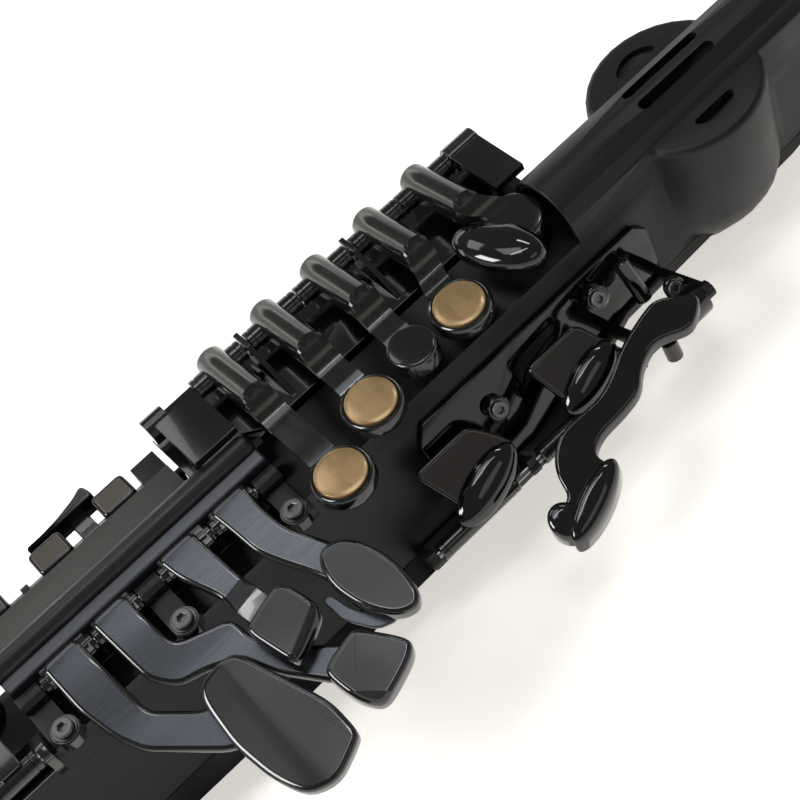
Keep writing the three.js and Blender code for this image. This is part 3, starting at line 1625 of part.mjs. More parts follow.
// Thumb stick: a cap on a stem that rocks in the back shell's hole
function thumbStick() {
  const capTopZ = stickCapZ + stickCapThickness;
  const cap = roundBar("z", stickCapRadius, stickCapZ, capTopZ, [stickX, 0], cupSides);
  const stem = roundBar("z", stickStemRadius, stickCapZ, stickStemTopZ, [stickX, 0]);
  return join(cap, stem);
}
add("thumb_stick", thumbStick(), "rubber");

// Control panel with two push buttons and a dial
function panelSeat(radius, x, y) {
  return roundBar("z", radius + seatGap, 0, bellyZ + overrun, [x, y], cupSides);
}

function controlPanel() {
  const plate = block(
    [panelFromX, -panelHalfWidth, backPlateZ - panelThickness],
    [panelToX, panelHalfWidth, backPlateZ],
  );
  return plate.subtract(join(
    panelSeat(buttonRadius, buttonX, buttonY),
    panelSeat(buttonRadius, buttonX, -buttonY),
    panelSeat(dialStemRadius, dialX, 0),
  ));
}
add("control_panel", controlPanel(), "glossBlack");

function pushButton(y) {
  const low = backPlateZ - panelThickness - buttonProud;
  return roundBar("z", buttonRadius, low, low + buttonLength, [buttonX, y], cupSides);
}
add("power_button", pushButton(buttonY), "rubber");
add("select_button", pushButton(-buttonY), "rubber");

function volumeDial() {
  const high = backPlateZ - panelThickness - seatGap;
  const knob = roundBar("z", dialRadius, high - dialThickness, high, [dialX, 0], cupSides);
  const stem = roundBar("z", dialStemRadius, high - dialThickness, backPlateZ - seatGap, [dialX, 0]);
  return join(knob, stem);
}
add("volume_dial", volumeDial(), "rubber");

// Strap ring: a bowed bar on two feet
function strapRing() {
  const top = sectionAt(ringX).bellyHeight - seatGap;
  const low = top - ringReach;
  const bow = [
    [-ringHalfWidth, top],
    [-ringHalfWidth, low + ringBar],
    [-ringHalfWidth + ringBar, low],
    [ringHalfWidth - ringBar, low],
    [ringHalfWidth, low + ringBar],
    [ringHalfWidth, top],
  ];
  const eye = [
    [-ringHalfWidth + ringBar, top - ringBar],
    [-ringHalfWidth + ringBar, low + ringBar],
    [ringHalfWidth - ringBar, low + ringBar],
    [ringHalfWidth - ringBar, top - ringBar],
  ];
  const half = ringThickness / 2;
  const bar = beam(bow.reverse(), ringX - half, ringX + half);
  const hole = beam(eye.reverse(), ringX - half - overrun, ringX + half + overrun);
  return bar.subtract(hole).subtract(casingBody(-seatGap));
}
add("strap_ring", strapRing(), "steel");

// Thumb hook: a plate on the back, a leg and a tongue on which the instrument also lies
function thumbHook() {
  const top = lowBellyZ - seatGap;
  const t = hookThickness;
  const outline = [
    [hookFromX, top],
    [hookFromX, top - t],
    [hookToX - t, top - t],
    [hookToX - t, t],
    [hookFromX, t],
    [hookFromX, 0],
    [hookToX, 0],
    [hookToX, top],
  ];
  return wing(outline, -hookHalfWidth, hookHalfWidth).subtract(casingBody(-seatGap));
}
add("thumb_hook", thumbHook(), "satinBlack");

// Inside: cells, their cover, the board and the loudspeaker
function batteryPack() {
  const low = lowBellyZ + coverThickness + seatGap;
  const centreZ = low + cellRadius;
  const cells = Array.from({ length: cellCount }, (_, i) => {
    const y = (i - (cellCount - 1) / 2) * (cellRadius * 2 - seatGap);
    const fromX = bayX - cellLength / 2;
    return roundBar("x", cellRadius, fromX, fromX + cellLength, [y, centreZ], cupSides / 2);
  });
  return join(...cells);
}
add("battery_pack", batteryPack(), "steel");

function batteryCover() {
  const half = coverLength / 2;
  const inner = bayHalfWidth - seatGap;
  return block(
    [bayX - half, -inner, lowBellyZ],
    [bayX + half, inner, lowBellyZ + coverThickness],
  );
}
add("battery_cover", batteryCover(), "satinBlack");

function mainBoard() {
  return block(
    [boardFromX, -boardHalfWidth, boardZ],
    [boardToX, boardHalfWidth, boardZ + boardThickness],
  );
}
add("main_board", mainBoard(), "boardGreen");

function speakerDriver() {
  const top = earZ - casingWall - seatGap;
  const profile = [
    [0, top - driverDepth],
    [driverMagnetRadius, top - driverDepth],
    [driverMagnetRadius, top - driverDepth / 2],
    [driverRadius, top - casingWall],
    [driverRadius, top],
    [driverRadius - casingWall, top],
    [driverMagnetRadius / 2, top - driverDepth / 3],
    [0, top - driverDepth / 3],
  ];
  const geometry = new THREE.LatheGeometry(profile.map(([r, z]) => new THREE.Vector2(r, z)), cupSides);
  geometry.rotateX(Math.PI / 2);
  return solid(geometry);
}
add("speaker_driver", speakerDriver(), "rubber");
export default instrument;
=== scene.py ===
import json
import math
import bmesh
import bpy
from mathutils import Matrix, Vector


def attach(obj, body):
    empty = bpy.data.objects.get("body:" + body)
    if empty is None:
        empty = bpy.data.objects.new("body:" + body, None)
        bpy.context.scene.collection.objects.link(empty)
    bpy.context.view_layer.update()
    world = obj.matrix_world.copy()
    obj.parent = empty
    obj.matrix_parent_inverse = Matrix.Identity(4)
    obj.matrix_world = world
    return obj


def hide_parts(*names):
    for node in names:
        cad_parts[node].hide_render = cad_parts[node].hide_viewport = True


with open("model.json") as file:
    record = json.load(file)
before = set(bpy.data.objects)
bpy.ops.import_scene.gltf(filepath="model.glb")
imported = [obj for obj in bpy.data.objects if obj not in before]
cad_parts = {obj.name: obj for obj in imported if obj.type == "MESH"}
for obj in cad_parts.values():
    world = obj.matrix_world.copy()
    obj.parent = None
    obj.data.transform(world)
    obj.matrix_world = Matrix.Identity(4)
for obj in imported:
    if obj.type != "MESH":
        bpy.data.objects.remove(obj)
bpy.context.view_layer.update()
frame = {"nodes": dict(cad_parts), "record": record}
mm = 0.001

# Camera at the photograph's place: its position and its right, up and back directions
camera_place = (-0.25448, -0.343, 0.51515)
camera_right = (0.717244, -0.633864, -0.289442)
camera_up = (0.670186, 0.513757, 0.535635)
camera_back = (-0.190817, -0.578161, 0.793296)
camera_lens = 78.75
camera_sensor = 36


def set_camera():
    data = bpy.data.cameras.new("camera")
    data.lens = camera_lens
    data.sensor_width = camera_sensor
    data.clip_start = 0.01
    camera = bpy.data.objects.new("camera", data)
    bpy.context.scene.collection.objects.link(camera)
    turn = Matrix((camera_right, camera_up, camera_back)).transposed()
    camera.matrix_world = Matrix.Translation(camera_place) @ turn.to_4x4()
    bpy.context.scene.camera = camera


# Shared effects as node groups
def new_group(name, inputs, outputs):
    group = bpy.data.node_groups.new(name, "ShaderNodeTree")
    for label, kind, value in inputs:
        socket = group.interface.new_socket(label, in_out="INPUT", socket_type=kind)
        socket.default_value = value
    for label, kind in outputs:
        group.interface.new_socket(label, in_out="OUTPUT", socket_type=kind)
    entry = group.nodes.new("NodeGroupInput")
    leave = group.nodes.new("NodeGroupOutput")
    return group, entry, leave


def join(start, output, end, entry):
    """One node's output feeds another's input."""
    end.id_data.links.new(start.outputs[output], end.inputs[entry])


def noise_node(nodes, scale, detail):
    noise = nodes.new("ShaderNodeTexNoise")
    noise.inputs["Scale"].default_value = scale
    noise.inputs["Detail"].default_value = detail
    return noise


def math_node(nodes, operation):
    node = nodes.new("ShaderNodeMath")
    node.operation = operation
    return node


def range_node(nodes, low, high, to_low, to_high):
    span = nodes.new("ShaderNodeMapRange")
    for label, value in (("From Min", low), ("From Max", high), ("To Min", to_low), ("To Max", to_high)):
        span.inputs[label].default_value = value
    return span


# Fine moulded grain: a height for the bump and a mask that shifts the gloss
def grain_group():
    inputs = [("Scale", "NodeSocketFloat", 900.0)]
    outputs = [("Height", "NodeSocketFloat"), ("Patches", "NodeSocketFloat")]
    group, entry, leave = new_group("moulded_grain", inputs, outputs)
    nodes = group.nodes
    place = nodes.new("ShaderNodeTexCoord")
    fine = noise_node(nodes, 900, 3)
    wide = noise_node(nodes, 35, 4)
    join(place, "Object", fine, "Vector")
    join(place, "Object", wide, "Vector")
    join(entry, "Scale", fine, "Scale")
    join(fine, "Fac", leave, "Height")
    join(wide, "Fac", leave, "Patches")
    return group


# Specks of dust on dark faces
def dust_group():
    inputs = [("Scale", "NodeSocketFloat", 260.0), ("Amount", "NodeSocketFloat", 0.04)]
    outputs = [("Mask", "NodeSocketFloat")]
    group, entry, leave = new_group("dust_specks", inputs, outputs)
    nodes = group.nodes
    place = nodes.new("ShaderNodeTexCoord")
    cells = nodes.new("ShaderNodeTexVoronoi")
    thin = noise_node(nodes, 60, 2)
    less = math_node(nodes, "LESS_THAN")
    keep = math_node(nodes, "GREATER_THAN")
    keep.inputs[1].default_value = 0.6
    both = math_node(nodes, "MULTIPLY")
    join(place, "Object", cells, "Vector")
    join(place, "Object", thin, "Vector")
    join(entry, "Scale", cells, "Scale")
    join(cells, "Distance", less, 0)
    join(entry, "Amount", less, 1)
    join(thin, "Fac", keep, 0)
    join(less, "Value", both, 0)
    join(keep, "Value", both, 1)
    join(both, "Value", leave, "Mask")
    return group


# Fine parallel polish marks, drawn out along one axis
def polish_group():
    inputs = [("Stretch", "NodeSocketVector", (40.0, 900.0, 900.0))]
    outputs = [("Marks", "NodeSocketFloat")]
    group, entry, leave = new_group("polish_marks", inputs, outputs)
    nodes = group.nodes
    place = nodes.new("ShaderNodeTexCoord")
    drawn = nodes.new("ShaderNodeVectorMath")
    drawn.operation = "MULTIPLY"
    marks = noise_node(nodes, 1, 3)
    join(place, "Object", drawn, 0)
    join(entry, "Stretch", drawn, 1)
    join(drawn, "Vector", marks, "Vector")
    join(marks, "Fac", leave, "Marks")
    return group


moulded_grain = grain_group()
dust_specks = dust_group()
polish_marks = polish_group()


# Finishes, kept by name
finishes = {}
dust_color = (0.3, 0.3, 0.3)


def new_finish(name, color, roughness, metallic=0.0, coat=0.0, shine=0.5):
    """A plain finish; shine is how strongly it mirrors its surroundings, and 0.5 is plain plastic."""
    material = bpy.data.materials.new(name)
    material.use_nodes = True
    shader = material.node_tree.nodes["Principled BSDF"]
    shader.inputs["Base Color"].default_value = (*color, 1)
    shader.inputs["Roughness"].default_value = roughness
    shader.inputs["Metallic"].default_value = metallic
    shader.inputs["Coat Weight"].default_value = coat
    shader.inputs["Coat Roughness"].default_value = 0.04
    shader.inputs["Specular IOR Level"].default_value = shine
    finishes[name] = material
    return material


def place_group(nodes, group):
    node = nodes.new("ShaderNodeGroup")
    node.node_tree = group
    return node


def moulded(name, color, scale, depth, gloss, **values):
    """A finish with moulded grain: a bump's depth in metres, and a roughness between two values."""
    material = new_finish(name, color, gloss[0], **values)
    nodes = material.node_tree.nodes
    shader = nodes["Principled BSDF"]
    grain = place_group(nodes, moulded_grain)
    grain.inputs["Scale"].default_value = scale
    bump = nodes.new("ShaderNodeBump")
    bump.inputs["Distance"].default_value = depth
    bump.inputs["Strength"].default_value = 0.6
    span = range_node(nodes, 0.35, 0.65, *gloss)
    join(grain, "Height", bump, "Height")
    join(bump, "Normal", shader, "Normal")
    join(grain, "Patches", span, "Value")
    join(span, "Result", shader, "Roughness")
    return material


def color_mix(nodes, low, high):
    mix = nodes.new("ShaderNodeMix")
    mix.data_type = "RGBA"
    mix.inputs["A"].default_value = (*low, 1)
    mix.inputs["B"].default_value = (*high, 1)
    return mix


def add_dust(material, scale, amount):
    """Pale specks on a plain finish."""
    nodes = material.node_tree.nodes
    shader = nodes["Principled BSDF"]
    dust = place_group(nodes, dust_specks)
    dust.inputs["Scale"].default_value = scale
    dust.inputs["Amount"].default_value = amount
    mix = color_mix(nodes, shader.inputs["Base Color"].default_value[:3], dust_color)
    join(dust, "Mask", mix, "Factor")
    join(mix, "Result", shader, "Base Color")


def polished(name, stretch, dark, light, gloss, **values):
    """A finish with polish marks between two colours and a roughness between two values."""
    material = new_finish(name, dark, gloss[0], **values)
    nodes = material.node_tree.nodes
    shader = nodes["Principled BSDF"]
    polish = place_group(nodes, polish_marks)
    polish.inputs["Stretch"].default_value = stretch
    mix = color_mix(nodes, dark, light)
    span = range_node(nodes, 0.3, 0.7, *gloss)
    join(polish, "Marks", mix, "Factor")
    join(polish, "Marks", span, "Value")
    join(mix, "Result", shader, "Base Color")
    join(span, "Result", shader, "Roughness")


# Black plastics and lacquers: grain scale and depth, then the roughness range
casing = moulded("casing_black", (0.005, 0.005, 0.0058), 1500, 0.00002, (0.4, 0.48), shine=0.36)
add_dust(casing, 300, 0.035)
gloss_black = moulded("gloss_black", (0.003, 0.003, 0.0035), 400, 0.000004, (0.05, 0.11))
add_dust(gloss_black, 260, 0.045)
moulded("key_lacquer", (0.005, 0.005, 0.0055), 600, 0.000004, (0.12, 0.2), coat=0.5)
moulded("soft_black", (0.02, 0.02, 0.02), 2500, 0.00005, (0.74, 0.86))
moulded("touch_satin", (0.014, 0.014, 0.015), 1600, 0.00001, (0.28, 0.36), shine=0.42)
moulded("gloss_key", (0.003, 0.003, 0.003), 500, 0.000003, (0.05, 0.1), coat=0.4)
moulded("rail_black", (0.006, 0.006, 0.0068), 1500, 0.00001, (0.32, 0.4))
# The side keys' tops: an olive-brown colour that is painted reflection, on a glossy finish
moulded("side_top_painted_reflection", (0.026, 0.021, 0.008), 500, 0.000003, (0.22, 0.3))
moulded("facet_gloss", (0.004, 0.004, 0.0042), 500, 0.000003, (0.1, 0.16), coat=0.1, shine=0.26)
moulded("lever_satin", (0.004, 0.004, 0.004), 900, 0.000003, (0.13, 0.2))
moulded("board_green", (0.01, 0.08, 0.03), 800, 0.00002, (0.4, 0.5))

# Brushed and polished finishes: how the marks are drawn out, a dark and a light colour, the roughness range
polished(
    "plate_grey", (50, 900, 900), (0.06, 0.063, 0.072), (0.098, 0.102, 0.114), (0.34, 0.46), metallic=0.5,
)
polished("rod_steel", (60, 900, 900), (0.2, 0.2, 0.21), (0.32, 0.32, 0.33), (0.2, 0.32), metallic=1.0)
polished(
    "pearl_gold", (170, 70, 120), (0.27, 0.17, 0.072), (0.52, 0.355, 0.175), (0.22, 0.34),
    metallic=0.5, coat=0.3,
)
polished(
    "ligature_brass", (300, 60, 60), (0.52, 0.36, 0.15), (0.66, 0.48, 0.22), (0.16, 0.26), metallic=1.0,
)
polished("reed_cane", (30, 900, 900), (0.55, 0.42, 0.2), (0.7, 0.58, 0.33), (0.55, 0.66))
polished(
    "arm_lacquer", (900, 60, 60), (0.006, 0.006, 0.005), (0.012, 0.012, 0.011), (0.12, 0.2), coat=0.3,
)
# Grey-blue, lighter than the black lacquer of the arms' sides: painted sheen on the tops of the table arms
# and on the strap, with polish marks
polished(
    "sheen_painted_satin", (80, 1600, 80), (0.057, 0.061, 0.072), (0.068, 0.073, 0.086), (0.24, 0.32), metallic=0.5,
)
# Grey for the deck under the side keys: painted sheen that stands in for a mirrored lamp, with polish marks
polished(
    "deck_painted_sheen", (50, 900, 900), (0.045, 0.042, 0.039), (0.068, 0.064, 0.06), (0.36, 0.46), metallic=0.3,
)
polished(
    "screw_steel", (700, 700, 700), (0.09, 0.095, 0.1), (0.2, 0.205, 0.215), (0.32, 0.5), metallic=0.8,
)

# Each node's slot and body, from the record
node_slots = {entry["node"]: entry["material_slot"] for entry in frame["record"]["subparts"]}
node_bodies = {}
for body, members in frame["record"]["behaviour"]["bodies"].items():
    for member in members:
        node_bodies[member] = body


# Helpers for modelling
def take(piece):
    bpy.ops.object.select_all(action="DESELECT")
    piece.select_set(True)
    bpy.context.view_layer.objects.active = piece


def dress(piece, finish, top=None, smooth=35):
    """A finish for the piece, and one for the faces of its second slot."""
    piece.data.materials.append(finishes[finish])
    piece.data.materials.append(finishes[top or finish])
    take(piece)
    bpy.ops.object.shade_smooth_by_angle(angle=math.radians(smooth))


def add_piece(piece, body):
    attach(piece, body)


def stand_for(piece, node):
    add_piece(piece, node_bodies[node])
    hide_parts(node)


def round_corners(piece, width):
    bevel = piece.modifiers.new("edges", "BEVEL")
    bevel.width = width * mm
    bevel.segments = 3
    bevel.limit_method = "ANGLE"
    bevel.angle_limit = math.radians(30)
    bevel.miter_outer = "MITER_ARC"
    bpy.ops.object.modifier_apply(modifier="edges")


def rounded_copy(node, width, finish=None, smooth=35):
    """A copy of a node's shape with its corners rounded, which stands for the node."""
    piece = bpy.data.objects.new(node + "_finished", frame["nodes"][node].data.copy())
    bpy.context.scene.collection.objects.link(piece)
    take(piece)
    bpy.ops.object.mode_set(mode="EDIT")
    bpy.ops.mesh.select_all(action="SELECT")
    bpy.ops.mesh.remove_doubles(threshold=0.01 * mm)
    bpy.ops.mesh.dissolve_limited(angle_limit=math.radians(1))
    bpy.ops.object.mode_set(mode="OBJECT")
    if width:
        round_corners(piece, width)
    piece.data.materials.clear()
    dress(piece, finish or node_slots[node], smooth=smooth)
    stand_for(piece, node)


# Pieces drawn out ring by ring from a flat face
def move_points(piece, ids, places):
    mesh = bmesh.from_edit_mesh(piece.data)
    mesh.verts.ensure_lookup_table()
    for index, place in zip(ids, places):
        mesh.verts[index].co = Vector(place) * mm
    bmesh.update_edit_mesh(piece.data)


def open_face(name, places):
    bpy.ops.object.select_all(action="DESELECT")
    bpy.ops.mesh.primitive_circle_add(vertices=len(places), radius=mm, fill_type="NGON")
    piece = bpy.context.active_object
    piece.name = name
    bpy.ops.object.mode_set(mode="EDIT")
    move_points(piece, range(len(places)), places)
    return piece


def draw_out(piece, ids, places):
    """The selected face is extruded, and its copied corners go to new places in the same order."""
    bpy.ops.mesh.extrude_region_move()
    mesh = bmesh.from_edit_mesh(piece.data)
    mesh.verts.index_update()
    mesh.verts.ensure_lookup_table()
    copies = []
    for index in ids:
        vertex = mesh.verts[index]
        ends = [edge.other_vert(vertex) for edge in vertex.link_edges]
        copies.append(next(end.index for end in ends if end.select))
    move_points(piece, copies, places)
    return copies


def loft(name, rings):
    """A closed skin through rings of as many places each; the last face has the second material slot."""
    piece = open_face(name, rings[0])
    ids = range(len(rings[0]))
    for ring in rings[1:]:
        ids = draw_out(piece, ids, ring)
    mesh = bmesh.from_edit_mesh(piece.data)
    for face in mesh.faces:
        if face.select:
            face.material_index = 1
    bmesh.update_edit_mesh(piece.data)
    bpy.ops.mesh.select_all(action="SELECT")
    bpy.ops.mesh.normals_make_consistent(inside=False)
    bpy.ops.object.mode_set(mode="OBJECT")
    return piece


def copy_of(piece, name, place):
    twin = bpy.data.objects.new(name, piece.data.copy())
    bpy.context.scene.collection.objects.link(twin)
    twin.data.transform(place)
    return twin


models = {}


def repeated(build, name, place):
    """A copy of a shape that is modelled once."""
    if build not in models:
        models[build] = build()
    return copy_of(models[build], name, Matrix.Translation(Vector(place) * mm))


# Outlines
def soften(outline, reach, steps=4):
    """Each corner becomes a curve that starts at most a reach away from it."""
    curve = []
    for index, corner in enumerate(outline):
        here = Vector(corner)
        before = Vector(outline[index - 1]) - here
        after = Vector(outline[(index + 1) % len(outline)]) - here
        start = here + before.normalized() * min(reach, before.length * 0.45)
        end = here + after.normalized() * min(reach, after.length * 0.45)
        for step in range(steps + 1):
            share = step / steps
            curve.append(start.lerp(here, share).lerp(here.lerp(end, share), share))
    return curve


def inset(outline, width):
    """An outline drawn in all round by a width."""
    area = sum(point.cross(outline[index - 1]) for index, point in enumerate(outline))
    inward = -1 if area > 0 else 1
    moved = []
    for index, point in enumerate(outline):
        before = (point - outline[index - 1]).normalized()
        after = (outline[(index + 1) % len(outline)] - point).normalized()
        along = (before + after).normalized()
        moved.append(point + Vector((-along.y, along.x)) * width * inward)
    return moved


def in_box(low, high, shares):
    """Places in a box, each given as its shares of the box's two sides."""
    return [(low[0] + (high[0] - low[0]) * u, low[1] + (high[1] - low[1]) * v) for u, v in shares]


rim_steps = 4
rim_hold = 0.3


def rim_profile(low, high, rim, foot):
    """How far each ring of a plate lies inside its outline, and its height."""
    rings = [(foot, low), (0, low + foot), (0, high - rim)]
    for step in range(1, rim_steps + 1):
        turn = math.pi / 2 * step / rim_steps
        rings.append((rim * (1 - math.cos(turn)), high - rim + rim * math.sin(turn)))
    return rings + [(rim + rim_hold, high)]


def flat(x, y, z):
    return (x, y, z)


def plate(name, outline, profile, place=flat):
    """A plate of an outline and an edge profile, laid flat or on a slanted plane."""
    rings = []
    for width, height in profile:
        rings.append([place(point.x, point.y, height) for point in inset(outline, width)])
    return loft(name, rings)


def bar_along_x(name, outline, low_x, high_x, finish="key_lacquer", edge=0.5):
    """An outline in Y and Z, drawn out along X, its ends drawn in a little."""
    rings = []
    for x, width in ((low_x, edge), (low_x + edge, 0), (high_x - edge, 0), (high_x, edge)):
        rings.append([(x, point.x, point.y) for point in inset(soften(outline, 0.8, 3), width)])
    bar = loft(name, rings)
    dress(bar, finish)
    return bar


def turned(name, profile, centre, axis="z", sides=48):
    """A piece turned round the X or Z axis; its profile gives radii and places along the axis."""
    x, y, z = centre
    rings = []
    for radius, along in profile:
        ring = []
        for step in range(sides):
            turn = 2 * math.pi * step / sides
            u, v = radius * math.cos(turn), radius * math.sin(turn)
            if axis == "x":
                ring.append((x + along, y + u, z + v))
            else:
                ring.append((x + u, y + v, z + along))
        rings.append(ring)
    return loft(name, rings)


def fall_away(piece, start, across, bend, slope, low, high):
    """Past a line, the top of a piece falls in a curve of a given width and then in a straight slope."""
    take(piece)
    start, across = Vector(start), Vector(across).normalized()
    bpy.ops.object.mode_set(mode="EDIT")
    cuts = 4 if bend else 1
    for cut in range(cuts):
        bpy.ops.mesh.select_all(action="SELECT")
        bpy.ops.mesh.bisect(plane_co=(start + across * bend * cut / cuts) * mm, plane_no=across)
    bpy.ops.object.mode_set(mode="OBJECT")
    for vertex in piece.data.vertices:
        past = (vertex.co / mm - start).dot(across)
        if past > 0:
            drop = past * past / (2 * bend) if past < bend else past - bend / 2
            grip = min(max((vertex.co.z / mm - low) / (high - low), 0), 1)
            vertex.co.z -= slope * drop * grip * mm


# Socket screws, modelled once: a head with a six-sided recess on a washer
screw_sides = 36
screw_head = [(2.3, 0), (2.6, 0.2), (2.6, 0.9), (2.35, 1.15)]
screw_recess = [(1.45, 1.15), (1.3, 1.05), (1.25, 0.1)]
recess_flats = 6


def screw_ring(radius, height, flats=0):
    ring = []
    for step in range(screw_sides):
        turn = 2 * math.pi * step / screw_sides
        reach = radius
        if flats:
            half = math.pi / flats
            reach = radius * math.cos(half) / math.cos(turn % (2 * half) - half)
        ring.append((reach * math.cos(turn), reach * math.sin(turn), height))
    return ring


def socket_screw():
    rings = [screw_ring(radius, height) for radius, height in screw_head]
    rings += [screw_ring(radius, height, recess_flats) for radius, height in screw_recess]
    screw = loft("socket_screw", rings)
    dress(screw, "screw_steel", smooth=30)
    return screw


def screw_washer():
    washer = turned("screw_washer", [(2.8, -0.6), (3.4, -0.6), (3.4, -0.2), (3.2, 0), (2.5, 0)], (0, 0, 0))
    dress(washer, "key_lacquer")
    return washer


def aim(place, direction, scale=1.0):
    turn = Vector(direction).to_track_quat("Z", "Y").to_matrix().to_4x4()
    return Matrix.Translation(Vector(place) * mm) @ turn @ Matrix.Scale(scale, 4)


def add_screws(table):
    screw = socket_screw()
    washer = screw_washer()
    for name, place, direction, scale in table:
        at = aim(place, direction, scale)
        add_piece(copy_of(screw, name, at), "body")
        add_piece(copy_of(washer, name + "_washer", at), "body")
    bpy.data.objects.remove(screw)
    bpy.data.objects.remove(washer)


# Ridge rail: a half-round bar on a satin base, and the bead round the ridge's mouth
rail_y, rail_z, rail_radius = 14.4, 65.4, 4.6
rail_low_x, rail_high_x = -300, -189
rail_foot = 3
rail_nose = [(0, 1), (6.8, 1), (7.8, 0.96), (8.6, 0.87), (9.2, 0.7), (9.5, 0.45)]
rail_nose_length = 9.6
mouth_x, mouth_z = -64, 64
bead_radius, bead_half_width, bead_half_length = 14.3, 0.72, 0.6


def ridge_rail():
    outline = [(5.5, 54.2), (5.5, 64.2), (6.2, 64.8), (9.8, 65.5), (19.2, 65.9), (22.1, 61.5), (22.1, 54.2)]
    base = bar_along_x("ridge_rail_base", outline, rail_low_x, rail_high_x - 0.5, "plate_grey", 0.8)
    rings = []
    for along, size in rail_nose:
        x = rail_low_x if along == 0 else rail_high_x - rail_nose_length + along
        ring = []
        radius = rail_radius * size
        for step in range(25):
            turn = math.pi * step / 24
            ring.append((x, rail_y + radius * math.cos(turn), rail_z + radius * math.sin(turn)))
        ring += [(x, rail_y - radius, rail_z - rail_foot), (x, rail_y + radius, rail_z - rail_foot)]
        rings.append(ring)
    bar = loft("ridge_rail_bar", rings)
    dress(bar, "rail_black", smooth=40)
    for part in (base, bar):
        stand_for(part, "ridge_rail")


def ridge_bead():
    """A rounded bead along the ridge's open end."""
    rings = []
    for step in range(33):
        turn = math.pi * step / 32
        across, rise = math.cos(turn), math.sin(turn)
        ring = []
        for side in range(10):
            angle = 2 * math.pi * side / 10
            x = mouth_x + bead_half_length * math.sin(angle)
            reach = bead_radius + bead_half_width * math.cos(angle)
            ring.append((x, reach * across, mouth_z + reach * rise))
        rings.append(ring)
    bead = loft("ridge_mouth_bead", rings)
    dress(bead, "casing_black", smooth=60)
    add_piece(bead, "body")


# Left-hand stack: half-round arms that are scooped down to a flat strap
stack_y, stack_z, stack_tube_radius = 42, 70, 4
arm_half_width, strap_half_width = 5.5, 5.2
arm_sides = 14
arm_depth = 10
crest_y, crest_z = 17.5, 83
arm_length, arm_drop = 31, 7
no_scoop = 99
scoop_heights = [
    (17.5, 83.0), (16.6, 81.8), (15.4, 79.8), (14, 77.9), (12.5, 76.2), (10.5, 74.7), (8.5, 73.8),
]
strap_from_y = 8.5
strap_z, strap_low_z = 73.3, 71.0
strap_steps = 5
swing_from_y, swing_to_y = 16, 9


def arm_top(y):
    return crest_z - arm_drop * max(y - crest_y, 0) / arm_length


def arm_ring(x, y, top, scoop, half, low, shrink=0.0):
    """A half-round section of a half width, cut off flat where it rises past the scoop's height."""
    wide = half - shrink
    ring = []
    for step in range(arm_sides + 1):
        turn = math.pi * step / arm_sides
        round_z = top - half + (half - shrink) * math.sin(turn)
        ring.append((x - wide * math.cos(turn), y, min(round_z, scoop)))
    foot = 0.6
    ring += [(x + wide, y, low + foot + shrink), (x + wide - foot, y, low + shrink)]
    ring += [(x - wide + foot, y, low + shrink), (x - wide, y, low + foot + shrink)]
    return ring


def glide(share):
    share = min(max(share, 0), 1)
    return share * share * (3 - 2 * share)


def hoop_arm(name, arm_x, touch_x, touch_y, end_y):
    """A rounded barrel from its closed end, a scooped saddle, and a strap that bends to the touch."""
    rings = []
    for y, shrink in ((48.5, 1.3), (48.3, 0.55), (47.8, 0.15), (47.2, 0)):
        top = arm_top(y)
        rings.append(arm_ring(arm_x, y, top, no_scoop, arm_half_width, top - arm_depth, shrink))
    for y in (40, 30, 26, 22, 19.5, 17.9):
        low = max(arm_top(y) - arm_depth, strap_low_z + (26 - y) * 0.25)
        rings.append(arm_ring(arm_x, y, arm_top(y), no_scoop, arm_half_width, low))
    swing = swing_from_y - min(touch_y + 9, swing_to_y)
    for y, scoop in scoop_heights:
        x = arm_x + (touch_x - arm_x) * glide((swing_from_y - y) / swing)
        rise = max(y - strap_from_y, 0)
        half = strap_half_width + (arm_half_width - strap_half_width) * rise / 9
        rings.append(arm_ring(x, y, crest_z, scoop, half, min(73.2, strap_low_z + rise * 0.35)))
    for step in range(1, strap_steps + 1):
        y = strap_from_y + (end_y - strap_from_y) * step / strap_steps
        x = arm_x + (touch_x - arm_x) * glide((swing_from_y - y) / swing)
        dip = 1.1 * glide((step - strap_steps + 1.5) / 1.5)
        rings.append(arm_ring(x, y, crest_z, strap_z - dip, strap_half_width, strap_low_z - dip))
    arm = loft(name + "_arm", rings)
    dress(arm, "arm_lacquer", smooth=28)
    return arm


tube_rim = 0.35
groove_place, groove_half_top, groove_half_floor = 2.2, 0.3, 0.15


def rod_tube(name, y, z, radius, low_x, high_x):
    """A tube round a rod, with a fine groove near each end."""
    inner = radius - tube_rim
    profile = [(inner, low_x), (radius, low_x + tube_rim)]
    for groove in (low_x + groove_place, high_x - groove_place):
        profile += [(radius, groove - groove_half_top), (inner, groove - groove_half_floor)]
        profile += [(inner, groove + groove_half_floor), (radius, groove + groove_half_top)]
    profile += [(radius, high_x - tube_rim), (inner, high_x)]
    tube = turned(name + "_tube", profile, (0, y, z), "x", 32)
    dress(tube, "key_lacquer", smooth=30)
    return tube


cup_profile = [
    (8.5, 66), (10.2, 66.3), (10.9, 67.2), (11, 68.2), (11, 70.7), (10.9, 71.4), (10.6, 72), (10.1, 72.32),
    (9.75, 72.25), (9.45, 71.8), (9.4, 71),
]
disc_profile = [
    (8.7, 71.1), (9.1, 71.4), (9.1, 72.5), (8.95, 72.85), (8.6, 73.02), (7, 73.18), (4.5, 73.3), (2, 73.36),
]


def cup_model():
    cup = turned("cup_model", cup_profile, (0, 0, 0), sides=64)
    dress(cup, "key_lacquer", smooth=40)
    return cup


def disc_model():
    disc = turned("disc_model", disc_profile, (0, 0, 0), sides=64)
    dress(disc, "pearl_gold", smooth=40)
    return disc


def disc_piece(name, x, y, lift=0.0):
    stand_for(repeated(disc_model, name + "_disc", (x, y, lift)), name)


